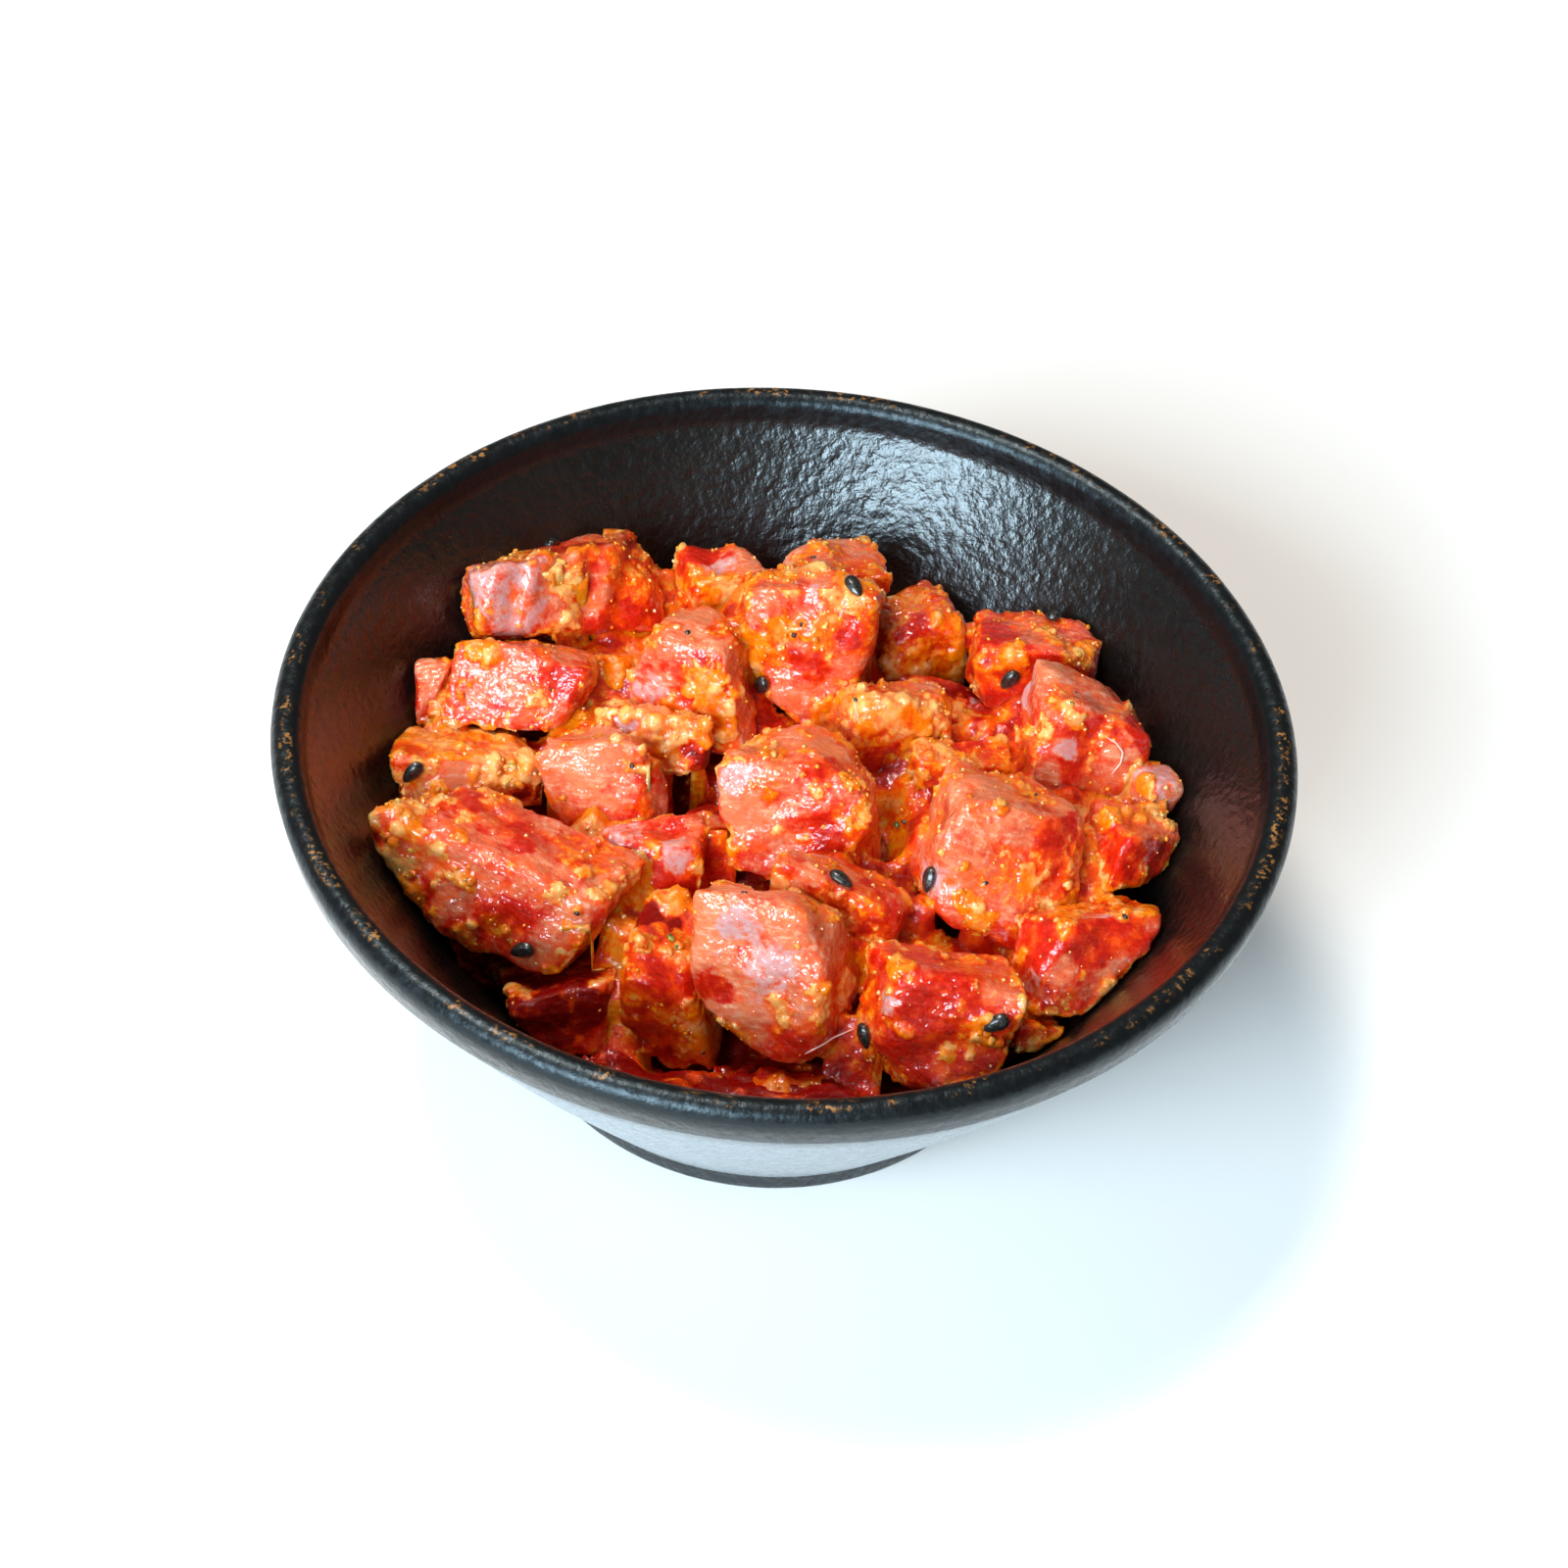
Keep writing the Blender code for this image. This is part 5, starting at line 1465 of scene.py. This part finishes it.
def seed_material():
    """Wet black sesame hull, faintly mottled."""
    n = Nodes("black_sesame")
    fine = n.noise(n.place(), "hull")
    return n.shade({
        "Base Color": n.over(SEED_BLACK, (n.look(fine, "hull"), SEED_BROWN)),
        "Roughness": n.look(fine, "hull_roughness"),
        "Coat Weight": 0.6,
        "Coat Roughness": 0.1,
        "Normal": n.bump(fine, distance=0.0002, strength=0.6),
    })


def bowl_section():
    """The bowl's section in radius and height, as its solid's: out over its floor, up the inside, round the
    lip, down the outside and under the foot, at even steps along the line."""
    inner_heights = np.linspace(FILLET_HEIGHT - FLOOR_FILLET * math.cos(FILLET_TURN), INNER_TOP, WALL_STEPS)
    outer_heights = np.linspace(SHOULDER_HEIGHT, FOOT_HEIGHT, WALL_STEPS)
    foot_inner = FOOT_RADIUS - FOOT_WIDTH
    fillet_end = math.degrees(FILLET_TURN) - 90
    return np.vstack([
        [(0.0, FLOOR_HEIGHT)],
        arc((fillet_centre(), FILLET_HEIGHT), FLOOR_FILLET, -90, fillet_end, ARC_STEPS),
        np.column_stack([inner_radius(inner_heights), inner_heights])[1:],
        arc((RIM_RADIUS - LIP_RADIUS, LIP_HEIGHT), LIP_RADIUS, LIP_START, 0, ARC_STEPS),
        np.column_stack([wall_radius(outer_heights), outer_heights]),
        arc((FOOT_RADIUS + FOOT_COVE, FOOT_HEIGHT - FOOT_COVE), FOOT_COVE, 90, 180, EDGE_STEPS),
        arc((FOOT_RADIUS - FOOT_EDGE, FOOT_EDGE), FOOT_EDGE, 0, -90, EDGE_STEPS),
        arc((foot_inner + FOOT_EDGE, FOOT_EDGE), FOOT_EDGE, -90, -180, EDGE_STEPS),
        [(foot_inner, FOOT_RECESS), (0.0, FOOT_RECESS)],
    ])


def even_steps(line, spacing):
    """Points at about even steps along a line, which keeps the line's own points."""
    rows = [line[:1]]
    for start, end in zip(line[:-1], line[1:]):
        count = max(1, round(float(np.linalg.norm(end - start)) / spacing))
        rows.append(start + (end - start) * (np.arange(1, count + 1) / count)[:, None])
    return np.vstack(rows)


def add_bowl(material):
    """The bowl: (r cos a, r sin a, z) along its section and round the axis, with slight waves that only
    press inwards from the solid's skin."""
    section = even_steps(bowl_section(), PROFILE_SPACING)
    line = section[1:-1]
    around = rings(line[:, 0], line[:, 1], BOWL_STEPS)
    points = np.vstack([[0, 0, section[0, 1]], around, [0, 0, section[-1, 1]]])
    faces = turned_faces(len(line), BOWL_STEPS, False)
    quads = np.array(faces[:(len(line) - 1) * BOWL_STEPS])
    normals = np.zeros_like(points)
    normals[1:-1] = point_normals(around, quads - 1)
    wave = THROWN_DEPTH * (noise("thrown", points) - 0.5)
    wave[points[:, 2] < FOOT_EDGE] = 0
    piece = add_mesh("glazed_bowl", points + normals * wave[:, None], faces, material)
    # Where the painted reflection on the outside shows: faded in below the shoulder and out above the foot.
    along = np.linspace(0, 1, len(line))
    outside = 1
    for mark, fade in (
        ([SHOULDER_RADIUS, SHOULDER_HEIGHT], SHOULDER_FADE), ([BODY_BASE_RADIUS, FOOT_HEIGHT], FOOT_FADE),
    ):
        at = along[np.argmin(np.hypot(*(line - mark).T))]
        outside = outside * smooth_step(at + fade[0], at + fade[1], along)
    set_attribute(piece, "outside", "FLOAT", np.concatenate([[0], np.repeat(outside, BOWL_STEPS), [0]]))
    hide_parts("bowl")


def seed_frame(block, way, spin):
    """Where a seed lies: on the block's surface along a way, flat against it."""
    way = unit(np.array(way, float))
    aside = unit(np.cross(way, SEED_ASIDE))
    above = np.cross(way, aside)
    ways = unit(np.array([way, way + SEED_PROBE * aside, way + SEED_PROBE * above]))
    here, beside, beyond = block.surface(ways)[0]
    normal = unit(np.cross(beside - here, beyond - here))
    normal = normal * np.sign(normal @ way)
    along = unit(np.cross(normal, SEED_UPRIGHT))
    turned = math.cos(math.radians(spin)) * along + math.sin(math.radians(spin)) * np.cross(normal, along)
    return here + SEED_LIFT * normal, np.column_stack([turned, np.cross(normal, turned), normal])


def add_seeds(blocks, material):
    """The black sesame seeds: each a flat drop, x = -cos a, y and z = sin a (1 - taper x), with a ridge."""
    angle = math.pi * np.arange(1, SEED_RINGS + 1) / (SEED_RINGS + 1)
    turn = 2 * math.pi * np.arange(SEED_SIDES) / SEED_SIDES
    ring = rings(np.sin(angle) * (1 + SEED_TAPER * np.cos(angle)), -np.cos(angle), SEED_SIDES)
    ring[:, :2] *= np.tile(1 + SEED_RIDGE * np.cos(SEED_RIDGES * turn), SEED_RINGS)[:, None]
    shape = np.vstack([[0, 0, -1], ring, [0, 0, 1]])[:, [2, 0, 1]]
    shape = shape * [SEED_LENGTH / 2, SEED_WIDTH / 2, SEED_THICKNESS / 2]
    points = []
    for name, way, spin in SEEDS:
        at, axes = seed_frame(blocks[name], way, spin)
        points.append(blocks[name].centre + at + shape @ axes.T)
    faces = copied_faces(turned_faces(SEED_RINGS, SEED_SIDES, True), len(shape), len(SEEDS))
    add_mesh("sesame_seeds", np.vstack(points), faces, material)


def axes_matrix(x, y, z, place):
    """The matrix whose axes are three directions, at a place in metres."""
    turned = np.eye(4)
    turned[:3] = np.column_stack([x, y, z, place])
    return Matrix(turned.tolist())


def add_camera():
    """The camera of the photograph: aimed so that the rim's middle falls on its pixel."""
    place, right, up, forward = camera_axes()
    lower = (AIM_PIXEL[1] - PICTURE / 2) / FOCAL_PIXELS
    aside = (AIM_PIXEL[0] - PICTURE / 2) / FOCAL_PIXELS
    aim = unit(forward + lower * up - aside * right)
    right = unit(np.cross(aim, up))
    data = bpy.data.cameras.new("camera")
    data.sensor_width = SENSOR
    data.lens = FOCAL_PIXELS / PICTURE * SENSOR
    data.clip_start = CLIP_START
    camera = bpy.data.objects.new("camera", data)
    camera.matrix_world = axes_matrix(right, np.cross(right, aim), -aim, place * MM)
    bpy.context.collection.objects.link(camera)
    bpy.context.scene.camera = camera


def add_light(name, toward, distance, width, height, radiance, colour):
    """A soft rectangular light that faces the bowl from a direction, with a radiance."""
    data = bpy.data.lights.new(name, "AREA")
    data.shape = "RECTANGLE"
    data.size, data.size_y = width, height
    data.energy = radiance * math.pi * width * height
    data.color = colour
    light = bpy.data.objects.new(name, data)
    toward = unit(np.array(toward, float))
    side = unit(np.cross((0, 0, 1), toward))
    place = toward * distance + np.array([0, 0, LIT_HEIGHT])
    light.matrix_world = axes_matrix(side, np.cross(toward, side), toward, place)
    bpy.context.collection.objects.link(light)


def add_room():
    """A pale floor, a window at the front left, a smaller soft light overhead, a little to the left and
    back, and a weak warm sky."""
    mesh = bpy.data.meshes.new("floor")
    corners = [(FLOOR_HALF * x, FLOOR_HALF * y, 0) for x, y in ((-1, -1), (1, -1), (1, 1), (-1, 1))]
    mesh.from_pydata(corners, [], [(0, 1, 2, 3)])
    n = Nodes("pale_floor")
    mesh.materials.append(n.shade({"Base Color": FLOOR_COLOUR, "Roughness": FLOOR_ROUGHNESS}))
    floor = bpy.data.objects.new("floor", mesh)
    bpy.context.collection.objects.link(floor)
    for name, row in LIGHTS.items():
        add_light(name, *row)
    world = bpy.data.worlds.new("sky")
    world.use_nodes = True
    background = world.node_tree.nodes["Background"]
    background.inputs["Color"].default_value = SKY_COLOUR
    background.inputs["Strength"].default_value = SKY_STRENGTH
    bpy.context.scene.world = world
    bpy.context.scene.view_settings.view_transform = "Standard"


def main():
    """The camera, the room, the bowl, then the blocks and what lies between and on them."""
    blocks = make_blocks()
    add_camera()
    add_room()
    add_bowl(glaze_material())
    tuna = tuna_material()
    sesame = seed_material()
    skins = add_blocks(blocks, tuna)
    bed = add_bed(blocks, tuna)
    fill = add_fill(skins[0], bed, tuna)
    everything = [np.concatenate(pair) for pair in zip(skins, fill)]
    add_loose(everything, tuna, grain_material(), sesame)
    add_seeds(blocks, sesame)


main()
